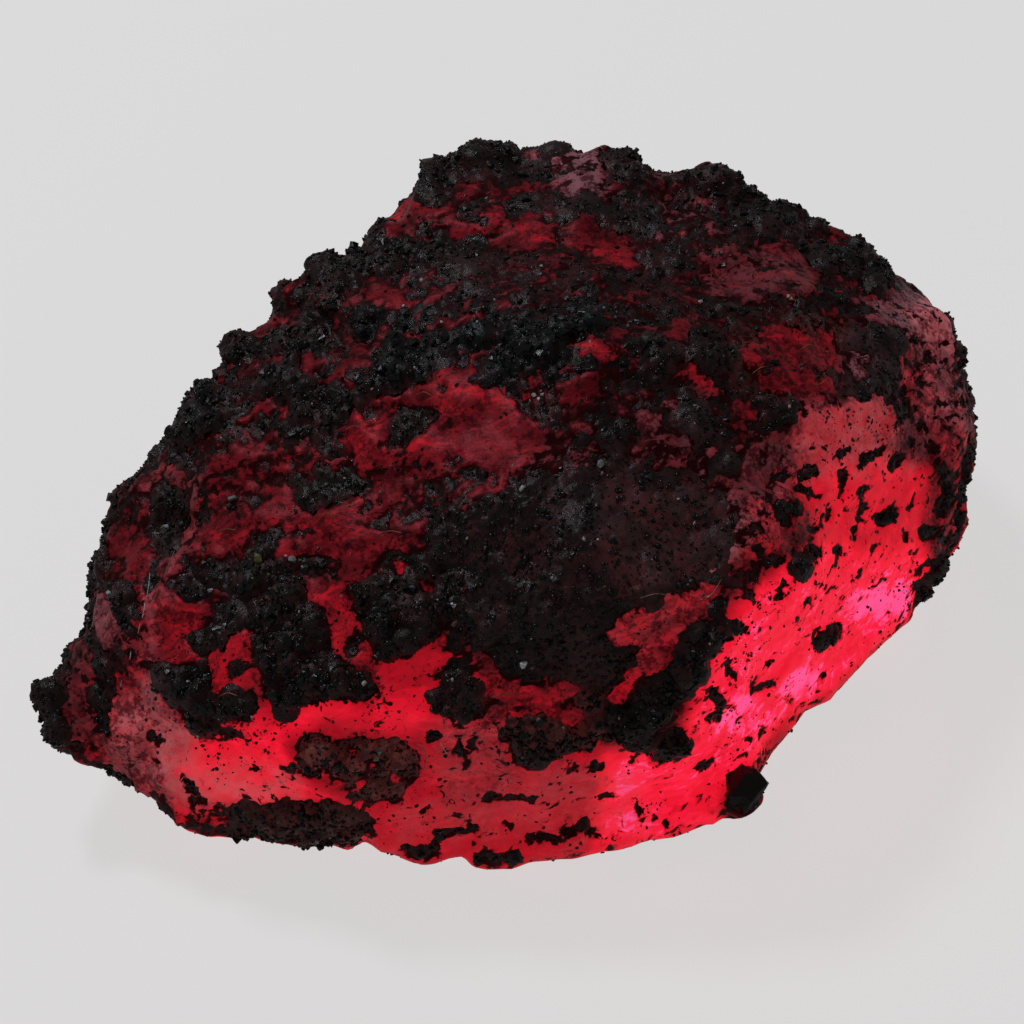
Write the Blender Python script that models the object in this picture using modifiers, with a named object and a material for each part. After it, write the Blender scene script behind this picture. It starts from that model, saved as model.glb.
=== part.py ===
"""A raw ruby crystal with a black crust grown on it, one closed solid about 26 mm long.

Run it with blender --background --python part.py. The stone lies on a flat natural face at z = 0, +Z is up
and +X runs along its length, from the blunt tip to the broad end. The shape is worked out in millimetres. The
last step brings it to metres, with the origin under the middle of the stone.
"""

import math

import bmesh
import bpy
from mathutils import Matrix, Vector, noise

METRES_PER_MM = 0.001

# The main block: the corners of its crystal faces, ring by ring from the underside to the crest.
MAIN_BLOCK = {
    "underside": [
        (-7.0, -3.2, -0.6), (-1.5, -5.2, -0.6), (3.5, -5.0, -0.6), (7.6, -3.2, -0.6),
        (8.2, 0.6, -0.6), (5.0, 4.4, -0.6), (-0.5, 5.0, -0.6), (-5.8, 2.4, -0.6),
    ],
    "lower_rim": [
        (-12.0, -2.8, 2.1), (-10.2, -4.7, 1.5), (-7.8, -5.4, 1.5), (-5.5, -6.5, 1.3), (-3.3, -7.5, 1.1),
        (-0.3, -8.2, 0.9), (2.0, -8.3, 0.8), (3.2, -7.4, 0.9), (4.9, -6.0, 0.9), (8.2, -4.8, 1.1),
        (10.8, -3.6, 1.5), (11.2, 2.4, 2.4), (6.4, 6.4, 2.2), (-0.6, 7.0, 2.4), (-6.6, 5.0, 2.6),
        (-10.6, 1.6, 2.4),
    ],
    "girdle": [
        (12.0, -3.3, 3.2), (12.5, -1.7, 5.5), (12.6, -0.9, 6.6), (12.7, -0.3, 7.0), (12.2, 4.0, 5.8),
        (7.4, 7.3, 5.4), (0.2, 8.4, 5.6), (-5.8, 6.2, 5.4), (-9.9, 2.8, 6.0), (-10.9, 1.2, 5.0),
        (-12.2, -0.2, 4.5), (-12.5, -0.8, 3.9), (-12.8, -1.8, 2.8), (-12.3, 0.5, 3.2), (-11.9, 1.0, 3.2),
        (-12.5, -0.6, 2.4), (-11.4, -2.7, 4.0),
        (-10.4, -2.8, 5.0), (-7.4, -4.9, 6.0), (-3.2, -6.6, 6.4), (1.8, -7.9, 5.6),
    ],
    "shoulder": [
        (-10.0, -0.9, 6.6), (-8.6, 3.1, 6.8), (-5.9, 4.5, 7.9), (-5.1, 5.2, 8.5), (-3.5, 6.2, 8.9),
        (-6.4, 2.7, 9.0), (3.4, -7.1, 8.2), (7.6, -2.8, 9.6), (12.2, 0.3, 8.0), (11.3, 1.6, 8.3),
    ],
    "crest": [
        (-1.9, 5.5, 10.2), (-1.9, 3.0, 10.7), (0.6, 4.0, 10.8), (1.2, -0.3, 11.7), (2.5, 1.9, 11.3),
        (4.6, -0.3, 11.2), (4.3, -1.7, 11.4), (-1.0, -3.5, 10.4), (0.3, -5.8, 9.5),
    ],
}

# The back block stands behind the crest, a little lower, with a groove between the two.
BACK_BLOCK = {
    "foot": [
        (-1.5, 7.7, 5.2), (1.5, 8.0, 5.0), (6.8, 7.0, 5.0), (10.8, 3.6, 5.6), (9.0, 0.0, 6.0), (1.5, 2.0, 6.0),
    ],
    "top": [
        (-1.6, 6.1, 9.6), (-0.9, 7.0, 9.5), (0.0, 7.9, 9.4), (0.8, 8.4, 9.7), (2.1, 8.3, 10.1),
        (4.1, 7.5, 10.3), (5.6, 6.7, 10.15), (6.8, 5.8, 9.6), (8.2, 5.1, 9.4), (9.1, 4.7, 8.9),
        (10.8, 3.6, 8.5), (11.3, 1.6, 8.3), (5.0, -0.2, 10.6), (2.9, 1.6, 10.7),
    ],
}

# Knobs of black crust that stand clear of the faces: x, y, z and radius.
CRUST_KNOBS = {
    "tip": [
        (-12.6, -0.6, 3.8, 0.66), (-12.5, -1.2, 3.1, 0.80), (-12.1, -1.8, 2.7, 0.75), (-11.9, -0.6, 3.2, 0.95),
    ],
    "left_edge": [
        (-6.4, 4.3, 7.4, 0.45), (-7.0, 3.9, 7.2, 0.55), (-7.7, 3.4, 6.9, 0.45), (-9.0, 2.8, 6.5, 0.38),
        (-5.55, 5.2, 8.35, 0.40), (-2.8, 5.85, 8.9, 0.45),
    ],
    "back_edge": [
        (7.5, 4.95, 9.7, 0.62), (6.8, 5.5, 9.7, 0.40), (5.2, 6.6, 9.8, 0.48), (0.8, 8.2, 9.6, 0.40),
    ],
    "foot": [(-5.0, -6.4, 1.2, 0.42), (-2.9, -7.3, 1.1, 0.42), (2.4, -7.7, 1.3, 0.50)],
}

# The angular flake of crust on the rim, the sides of its box and its turn about Z.
FLAKE_CENTRE = (3.35, -8.1, 1.2)
FLAKE_SIDES = (1.25, 0.85, 1.15)
FLAKE_TURN = math.radians(25)

# Plates of crust that thicken the faces: x, y, z, reach and height.
CRUST_PLATES = [
    (-7.2, -3.6, 7.0, 2.2, 0.22), (-6.3, -5.3, 6.2, 1.3, 0.20), (-9.6, -3.0, 5.5, 1.2, 0.18),
    (-4.7, -4.5, 8.2, 1.8, 0.20), (-3.6, -6.3, 6.7, 1.2, 0.18), (-1.9, -7.2, 5.2, 1.8, 0.20),
    (0.6, -7.7, 5.3, 1.3, 0.18), (2.0, -7.3, 7.1, 1.7, 0.18), (-6.6, -5.6, 4.3, 2.0, 0.18),
    (0.2, -5.8, 9.3, 3.0, 0.20), (1.7, -0.6, 11.6, 2.4, 0.18), (-7.9, -5.4, 1.9, 1.7, 0.12),
    (-3.8, 1.6, 10.0, 2.0, 0.16), (7.8, 1.2, 9.4, 2.0, 0.16), (-7.4, 4.0, 7.6, 1.7, 0.12),
]

# Hollows and chipped places, as x, y, z, reach and depth.
HOLLOWS = [
    (-8.6, 1.1, 7.6, 1.2, 0.50), (6.3, 6.1, 10.0, 0.8, 0.22),
    (-3.0, -7.2, 2.4, 1.4, 0.22), (1.0, -8.0, 2.2, 1.6, 0.22), (11.2, 0.6, 8.3, 1.0, 0.12),
    (3.6, 3.0, 10.6, 1.6, 0.20), (9.8, -3.4, 4.6, 1.6, 0.20), (-2.0, 7.8, 4.4, 2.2, 0.35),
    (9.6, 5.4, 3.8, 2.2, 0.30), (-8.4, 4.4, 4.0, 1.8, 0.28),
]

# Growth layers show as low steps across the upper faces. The axis points across the layers.
LAYER_AXIS = Vector((0.10, 0.55, 0.83)).normalized()
LAYER_SPACING = 1.45
LAYER_RISE = 0.36
LAYER_START = 6.2
LAYER_BLEND = 2.5
LAYER_WANDER = 0.55
LAYER_PATCHES = Vector((7.0, 0.0, 3.0))

# Patches of crust cover most of the stone. The upper faces carry more of it than the low right ones.
PATCH_WAVE = 2.3
PATCH_SHARPNESS = 3.0
COVER_LOW = -0.35
COVER_HIGH = 0.32
RIGHT_FACE = (8.0, -4.6, 4.2)
RIGHT_FACE_REACH = 6.5
RIGHT_FACE_LOSS = 0.75

# The crust is a close growth of small knobs on a thin bed. The bare faces swell gently.
BED_HEIGHT = 0.12
KNOB_SPACING = 1.05
KNOB_HEIGHT = 0.27
SWELL_WAVE = 5.0
SWELL_HEIGHT = 0.22

# The faces lie this far inside the corners above, so that the crust reaches about as far out as they do.
SINK = 0.17

KNOB_ROUGHNESS = 0.22
FLAKE_TILT = math.radians(18)
FLAKE_BEVEL = 0.16

# The cell of the skin that fuses everything, the triangles kept, and the edges that stay sharp.
SKIN_CELL = 0.24
TRIANGLES = 9300
SHARP_ANGLE = math.radians(38)

# Points this near the base plane are set on it before the cut, so that the cut leaves no slivers.
BASE_SNAP = 0.08


def add_hull(mesh, block):
    """Adds the convex hull of a block's corners, so that its faces are the flat faces of a crystal."""
    points = [mesh.verts.new(corner) for ring in block.values() for corner in ring]
    made = bmesh.ops.convex_hull(mesh, input=points)
    unused = [item for item in made["geom_interior"] if isinstance(item, bmesh.types.BMVert)]
    bmesh.ops.delete(mesh, geom=unused, context="VERTS")


def add_knob(mesh, x, y, z, radius):
    """Adds one rough ball of crust."""
    place = Matrix.Translation((x, y, z))
    ball = bmesh.ops.create_icosphere(mesh, subdivisions=3, radius=radius, matrix=place)
    centre = Vector((x, y, z))
    for vert in ball["verts"]:
        outward = vert.co - centre
        vert.co += outward * noise.noise(vert.co * 1.7) * KNOB_ROUGHNESS / radius


def add_flake(mesh):
    """Adds the angular flake, a small box with its corners cut."""
    turn = Matrix.Rotation(FLAKE_TURN, 4, "Z") @ Matrix.Rotation(FLAKE_TILT, 4, "X")
    place = Matrix.Translation(FLAKE_CENTRE) @ turn @ Matrix.Diagonal((*FLAKE_SIDES, 1.0))
    box = bmesh.ops.create_cube(mesh, size=1.0, matrix=place)
    edges = list({edge for vert in box["verts"] for edge in vert.link_edges})
    bmesh.ops.bevel(mesh, geom=edges, offset=FLAKE_BEVEL, segments=1, affect="EDGES")


def evaluated_mesh(obj):
    """Replaces an object's mesh with the one that its modifiers make."""
    graph = bpy.context.evaluated_depsgraph_get()
    shaped = bpy.data.meshes.new_from_object(obj.evaluated_get(graph))
    obj.modifiers.clear()
    obj.data = shaped


def fuse(obj, softening):
    """Makes one closed skin over everything in the object, and softens its corners a little."""
    remesh = obj.modifiers.new("fuse", "REMESH")
    remesh.mode = "VOXEL"
    remesh.voxel_size = SKIN_CELL
    soften = obj.modifiers.new("soften", "SMOOTH")
    soften.factor = 0.5
    soften.iterations = softening
    evaluated_mesh(obj)


def fade(distance, reach):
    """Is 1 at the middle of a spot and falls smoothly to 0 at its reach."""
    near = max(0.0, 1.0 - distance / reach)
    return near * near * (3.0 - 2.0 * near)


def plate_rise(place):
    """The height that the plates of crust add, with ragged edges."""
    ragged = 0.9 * noise.noise(place * 0.8) + 0.45 * noise.noise(place * 1.8)
    rise = 0.0
    for x, y, z, reach, height in CRUST_PLATES:
        away = (place - Vector((x, y, z))).length * (1.0 + ragged)
        rise = max(rise, height * min(1.0, 1.5 * fade(away, reach)))
    return rise


def hollow_depth(place):
    """The depth that the hollows take away."""
    return sum(depth * fade((place - Vector((x, y, z))).length, reach) for x, y, z, reach, depth in HOLLOWS)


def layer_rise(place):
    """The growth layers: each stands out at its lower edge and runs back to nothing at its top."""
    wander = Vector((place.x * 0.22, place.y * 0.5, place.z * 0.5))
    across = place.dot(LAYER_AXIS) + LAYER_WANDER * noise.noise(wander)
    step = across / LAYER_SPACING
    strength = min(1.0, max(0.0, (across - LAYER_START) / LAYER_BLEND))
    patchy = min(1.0, max(0.0, 0.35 + 1.6 * noise.noise(place * 0.4 + LAYER_PATCHES)))
    return LAYER_RISE * strength * patchy * (0.5 - (step - math.floor(step)))


def crust_cover(place):
    """Is 1 where crust grows and 0 on the bare red faces, with soft borders."""
    height = min(1.0, max(0.0, place.z / 10.0))
    cover = COVER_LOW + (COVER_HIGH - COVER_LOW) * height
    cover -= RIGHT_FACE_LOSS * fade((place - Vector(RIGHT_FACE)).length, RIGHT_FACE_REACH)
    cover += noise.noise(place / PATCH_WAVE) + 0.4 * noise.noise(place / PATCH_WAVE * 2.7)
    return min(1.0, max(0.0, 0.5 + PATCH_SHARPNESS * cover))


def knob_rise(place):
    """The rounded tops of the crust's knobs, one to each cell of a scattered pattern."""
    distances = noise.voronoi(place / KNOB_SPACING)[0]
    return KNOB_HEIGHT * max(0.0, 1.0 - 2.2 * distances[0] ** 2)


def relief(place):
    """How far the surface stands out from its smooth crystal faces."""
    swell = SWELL_HEIGHT * noise.noise(place / SWELL_WAVE)
    plates = plate_rise(place)
    cover = max(crust_cover(place), min(1.0, 8.0 * plates))
    crust = cover * (BED_HEIGHT + knob_rise(place)) - SINK
    return swell + crust + plates + layer_rise(place) - hollow_depth(place)


def roughen(obj):
    """Moves each point of the skin along its normal by the relief at that place."""
    moved = [vert.co + vert.normal * relief(vert.co) for vert in obj.data.vertices]
    for vert, place in zip(obj.data.vertices, moved):
        vert.co = place
    obj.data.update()


def reduce(obj):
    """Lowers the number of triangles, keeping the edges of the faces."""
    corners = sum(face.loop_total - 2 for face in obj.data.polygons)
    decimate = obj.modifiers.new("reduce", "DECIMATE")
    decimate.ratio = TRIANGLES / corners
    decimate.use_collapse_triangulate = True
    evaluated_mesh(obj)


def cut_underside(mesh):
    """Cuts the natural base flat at z = 0 and closes it with one face."""
    for vert in mesh.verts:
        if abs(vert.co.z) < BASE_SNAP:
            vert.co.z = 0.0
    everything = mesh.verts[:] + mesh.edges[:] + mesh.faces[:]
    bmesh.ops.bisect_plane(mesh, geom=everything, dist=BASE_SNAP / 10, plane_no=(0, 0, 1), clear_inner=True)
    rim = [edge for edge in mesh.edges if edge.is_boundary]
    for vert in {vert for edge in rim for vert in edge.verts}:
        vert.co.z = 0.0
    bmesh.ops.contextual_create(mesh, geom=rim)


def settle(obj):
    """Gives the stone its flat base, centres it over the origin and brings it to metres."""
    mesh = bmesh.new()
    mesh.from_mesh(obj.data)
    cut_underside(mesh)
    bmesh.ops.dissolve_degenerate(mesh, dist=0.001, edges=mesh.edges)
    bmesh.ops.triangulate(mesh, faces=mesh.faces)
    across = [vert.co.x for vert in mesh.verts]
    along = [vert.co.y for vert in mesh.verts]
    middle = Vector(((min(across) + max(across)) / 2, (min(along) + max(along)) / 2, 0.0))
    to_metres = Matrix.Scale(METRES_PER_MM, 4) @ Matrix.Translation(-middle)
    bmesh.ops.transform(mesh, matrix=to_metres, verts=mesh.verts)
    bmesh.ops.recalc_face_normals(mesh, faces=mesh.faces)
    mesh.to_mesh(obj.data)
    mesh.free()
    obj.data.shade_smooth()
    obj.data.set_sharp_from_angle(angle=SHARP_ANGLE)


def ruby_material():
    """Deep red corundum, dulled by its crust."""
    material = bpy.data.materials.new("ruby")
    material.use_nodes = True
    shader = material.node_tree.nodes["Principled BSDF"]
    shader.inputs["Base Color"].default_value = (0.22, 0.008, 0.02, 1.0)
    shader.inputs["Roughness"].default_value = 0.35
    shader.inputs["Metallic"].default_value = 0.0
    shader.inputs["IOR"].default_value = 1.76
    return material


def main():
    for old in list(bpy.data.objects):
        bpy.data.objects.remove(old)
    parts = bpy.data.collections.new("raw_ruby_crystal")
    bpy.context.scene.collection.children.link(parts)

    mesh = bmesh.new()
    add_hull(mesh, MAIN_BLOCK)
    add_hull(mesh, BACK_BLOCK)
    for knobs in CRUST_KNOBS.values():
        for knob in knobs:
            add_knob(mesh, *knob)
    add_flake(mesh)
    bmesh.ops.recalc_face_normals(mesh, faces=mesh.faces)
    data = bpy.data.meshes.new("ruby_crystal")
    mesh.to_mesh(data)
    mesh.free()
    crystal = bpy.data.objects.new("ruby_crystal", data)
    parts.objects.link(crystal)

    fuse(crystal, softening=2)
    roughen(crystal)
    fuse(crystal, softening=1)
    reduce(crystal)
    settle(crystal)
    crystal.data.materials.clear()
    crystal.data.materials.append(ruby_material())


main()
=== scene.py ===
import math

import bmesh
import bpy
import numpy as np
from mathutils import Matrix, Vector, noise
from mathutils.bvhtree import BVHTree


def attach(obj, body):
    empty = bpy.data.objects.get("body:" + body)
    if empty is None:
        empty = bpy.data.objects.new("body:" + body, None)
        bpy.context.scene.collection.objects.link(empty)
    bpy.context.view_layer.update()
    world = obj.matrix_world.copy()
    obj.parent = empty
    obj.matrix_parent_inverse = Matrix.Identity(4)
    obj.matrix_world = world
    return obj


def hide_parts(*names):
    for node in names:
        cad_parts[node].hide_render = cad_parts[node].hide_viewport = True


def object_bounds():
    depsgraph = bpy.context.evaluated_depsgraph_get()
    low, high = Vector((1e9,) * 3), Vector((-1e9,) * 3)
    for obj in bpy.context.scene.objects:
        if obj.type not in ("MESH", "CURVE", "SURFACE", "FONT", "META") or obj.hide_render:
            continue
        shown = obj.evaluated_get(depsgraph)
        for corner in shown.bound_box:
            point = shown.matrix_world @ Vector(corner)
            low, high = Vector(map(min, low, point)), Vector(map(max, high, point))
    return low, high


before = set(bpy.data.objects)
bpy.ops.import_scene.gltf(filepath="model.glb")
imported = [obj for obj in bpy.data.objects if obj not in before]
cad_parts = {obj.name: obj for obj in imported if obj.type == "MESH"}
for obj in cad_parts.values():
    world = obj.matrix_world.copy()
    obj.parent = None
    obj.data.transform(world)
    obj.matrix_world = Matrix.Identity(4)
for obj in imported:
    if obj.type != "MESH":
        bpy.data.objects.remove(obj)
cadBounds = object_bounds()
mm = 0.001

# The scene is worked out in millimetres and scaled to metres at the end.
viewing = {
    "azimuth": -20.0,
    "elevation": 50.0,
    "distance": 125.0,
    "lens": 170.0,
    "sensor": 36.0,
    "target": (0.300, 0.025, 5.0),
    "picture": 1024.0,      # width of the square camera picture that the outlines are drawn in
}

studio = {
    "floorWidth": 1.2,      # in metres
    "floorDrop": 0.00002,
    "floorColor": (0.22, 0.215, 0.215),
    "floorTint": (1.0, 0.985, 0.98),
    "floorGlow": 0.63,      # how bright the paper looks
    "floorBounce": 0.16,    # how much light it throws back up at the stone
    "sky": (0.80, 0.82, 0.86),
    "skyStrength": 0.11,
    "lampPlace": (-30, 60, 120),
    "lampAim": (0, 0, 4),
    "lampSize": 24,
    "lampPower": 0.052,
    "lampColor": (0.90, 0.94, 1.0),
}


def addToScene(name, data):
    piece = bpy.data.objects.new(name, data)
    bpy.context.scene.collection.objects.link(piece)
    return piece


def newMaterial(name):
    material = bpy.data.materials.new(name)
    material.use_nodes = True
    material.node_tree.nodes.clear()
    return material, material.node_tree


def feed(socket, value):
    # gives an input another node's output, a colour, a vector or a number
    if isinstance(value, bpy.types.NodeSocket):
        socket.id_data.links.new(value, socket)
    else:
        socket.default_value = (*value, 1.0) if socket.type == "RGBA" else value


def newNode(tree, kind, **values):
    # a name that starts with a small letter is a setting of the node, one with a capital is an input
    node = tree.nodes.new(kind)
    for name, value in values.items():
        if name[0].islower():
            setattr(node, name, value)
        else:
            feed(node.inputs[name.replace("_", " ")], value)
    return node


def cameraAxes():
    turn = math.radians(viewing["azimuth"])
    lift = math.radians(viewing["elevation"])
    back = Vector((math.sin(turn) * math.cos(lift), -math.cos(turn) * math.cos(lift), math.sin(lift)))
    right = Vector((math.cos(turn), math.sin(turn), 0.0))
    return right, back.cross(right).normalized(), back


def placeCamera():
    right, up, back = cameraAxes()
    data = bpy.data.cameras.new("camera")
    data.lens = viewing["lens"]
    data.sensor_width = viewing["sensor"]
    data.clip_start = 0.01
    camera = addToScene("camera", data)
    place = (Vector(viewing["target"]) + back * viewing["distance"]) * mm
    camera.matrix_world = Matrix.Translation(place) @ Matrix((right, up, back)).transposed().to_4x4()
    bpy.context.scene.camera = camera


def placeLamp():
    data = bpy.data.lights.new("topSoft", "AREA")
    data.shape = "DISK"
    data.size = studio["lampSize"] * mm
    data.energy = studio["lampPower"]
    data.color = studio["lampColor"]
    lamp = addToScene("topSoft", data)
    lamp.location = Vector(studio["lampPlace"]) * mm
    aim = Vector(studio["lampAim"]) - Vector(studio["lampPlace"])
    lamp.rotation_euler = aim.to_track_quat("-Z", "Y").to_euler()


def paperMaterial():
    material, tree = newMaterial("palePaper")
    seen = newNode(tree, "ShaderNodeLightPath").outputs["Is Camera Ray"]
    glow = newNode(
        tree, "ShaderNodeMapRange",
        Value=seen,
        To_Min=studio["floorBounce"],
        To_Max=studio["floorGlow"],
    )
    paper = newNode(
        tree, "ShaderNodeBsdfPrincipled",
        Base_Color=studio["floorColor"],
        Roughness=0.9,
        Emission_Color=studio["floorTint"],
        Emission_Strength=glow.outputs[0],
    )
    newNode(tree, "ShaderNodeOutputMaterial", Surface=paper.outputs[0])
    return material


def buildStudio():
    scene = bpy.context.scene
    scene.view_settings.view_transform = "Standard"
    world = bpy.data.worlds.new("paleRoom")
    world.use_nodes = True
    sky = world.node_tree.nodes["Background"]
    feed(sky.inputs["Color"], studio["sky"])
    feed(sky.inputs["Strength"], studio["skyStrength"])
    scene.world = world
    bpy.ops.mesh.primitive_plane_add(size=studio["floorWidth"], location=(0, 0, -studio["floorDrop"]))
    floor = bpy.context.object
    floor.name = "floor"
    floor.data.materials.append(paperMaterial())


placeCamera()
buildStudio()
placeLamp()
print("studio ready")


def ease(values, low, high):
    share = np.clip((values - low) / (high - low), 0.0, 1.0)
    return share * share * (3.0 - 2.0 * share)


def ripple(points, size, seed):
    # smooth bumps about one size apart, from -1 to 1
    return np.array([noise.noise(spot) for spot in (points / size + seed * 7.31).tolist()])


def beadsOver(points, size, seed, ground):
    # rounded beads packed over the surface and kept where their ground is above 0
    # gives how high each point stands, from 0 to 1
    nearest = [noise.voronoi(spot) for spot in (points / size + seed * 5.17).tolist()]
    distance = np.array([found[0] for found in nearest])
    middles = np.round(np.array([[tuple(middle) for middle in found[1]] for found in nearest]), 3)
    which = np.unique(middles.reshape(-1, 3), axis=0, return_inverse=True)[1].reshape(-1, 4)
    count = which.max() + 1
    held = np.bincount(which[:, 0], minlength=count)
    under = np.bincount(which[:, 0], ground, count) / np.maximum(held, 1)
    under = np.where(held > 0, under, -1.0)
    radius = np.random.default_rng(seed).uniform(0.5, 0.85, count) * ease(under, -0.05, 0.3)
    domes = 1.0 - (distance / np.maximum(radius[which], 0.01)) ** 2
    return np.sqrt(np.clip(domes, 0.0, 1.0)).max(axis=1)


def seenAt(points):
    # where each point of the stone shows in the camera picture
    right, up, back = [np.array(axis) for axis in cameraAxes()]
    middle = viewing["picture"] / 2
    ray = points - (np.array(viewing["target"]) + back * viewing["distance"])
    scale = viewing["lens"] / viewing["sensor"] * viewing["picture"] / -(ray @ back)
    return middle + ray @ right * scale, middle - ray @ up * scale


def depthInside(u, v, corners, reach=0.0):
    # distance to an outline or a stroke, positive inside
    closed = len(corners) > 2 and reach == 0.0
    ends = np.roll(corners, -1, axis=0) if closed else corners[min(1, len(corners) - 1):]
    nearest = np.full(len(u), np.inf)
    inside = np.zeros(len(u), bool)
    for start, end in zip(corners, ends):
        side = end - start
        along = ((u - start[0]) * side[0] + (v - start[1]) * side[1]) / max(side @ side, 1e-9)
        along = np.clip(along, 0.0, 1.0)
        away = np.hypot(u - start[0] - along * side[0], v - start[1] - along * side[1])
        nearest = np.minimum(nearest, away)
        if closed and side[1] != 0.0:
            crossing = (start[1] > v) != (end[1] > v)
            inside ^= crossing & (u < start[0] + side[0] * (v - start[1]) / side[1])
    return np.where(inside, nearest, -nearest) if closed else reach - nearest


def paint(field, u, v, plan, soft, grow=0.0, strength=1.0):
    # lays the value of each outline over the field, in the order given
    margin = 25     # further than any edge is soft
    for value, reach, *outlines in plan:
        for outline in outlines:
            corners = np.array(outline, float).reshape(-1, 2)
            left, top = corners.min(axis=0) - reach - margin
            right, bottom = corners.max(axis=0) + reach + margin
            near = (u > left) & (u < right) & (v > top) & (v < bottom)
            if near.any():
                share = ease(depthInside(u[near], v[near], corners, reach) + grow, -soft, soft)
                field[near] = field[near] * (1.0 - share) + value * strength * share
    return field


# Each entry of the plans below is (value, reach, outline, ...), and an outline gives the u and v of its
# corners in turn. With a reach it is a stroke or a lump of that radius. Later entries lie over earlier ones.

# How the black crust lies: from -1, bare ruby, through 0, mottled, to 1, thick crust.
crustZones = [
    (0.10, 0, (20, 100, 1000, 100, 1000, 420, 800, 420, 700, 560, 560, 640, 380, 600, 20, 600), (560, 360,
     640, 350, 740, 380, 760, 470, 640, 470, 520, 500, 440, 500, 440, 470, 540, 440)),
    (-0.04, 0, (395, 195, 450, 180, 560, 150, 600, 165, 620, 215, 590, 260, 500, 270, 440, 290, 365, 300,
     380, 240)),
    (0.0, 0, (200, 440, 300, 430, 370, 400, 440, 440, 440, 560, 340, 590, 215, 565, 190, 560, 170, 640,
     120, 700, 90, 640, 120, 500), (730, 330, 830, 300, 900, 290, 950, 310, 975, 400, 970, 560, 930, 590,
     900, 420, 800, 420, 740, 470)),
    (-0.95, 0, (700, 800, 690, 765, 690, 742, 672, 728, 690, 695, 710, 668, 722, 625, 735, 598, 762, 570,
     775, 545, 790, 500, 800, 450, 812, 415, 860, 405, 905, 432, 930, 470, 945, 500, 925, 560, 900, 612,
     870, 650, 830, 690, 775, 745, 745, 768, 712, 812)),
    (-0.92, 0, (108, 700, 130, 660, 143, 630, 150, 600, 172, 595, 212, 605, 190, 640, 186, 655, 150, 662,
     160, 690, 188, 716, 205, 738, 262, 718, 275, 706, 310, 704, 345, 702, 376, 694, 372, 676, 384, 662,
     425, 640, 452, 655, 432, 690, 432, 715, 482, 722, 495, 690, 548, 690, 590, 715, 612, 738, 640, 750,
     690, 765, 712, 812, 640, 836, 549, 855, 440, 860, 350, 855, 372, 834, 372, 815, 230, 800, 170, 812,
     118, 785, 98, 745)),
]

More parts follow.
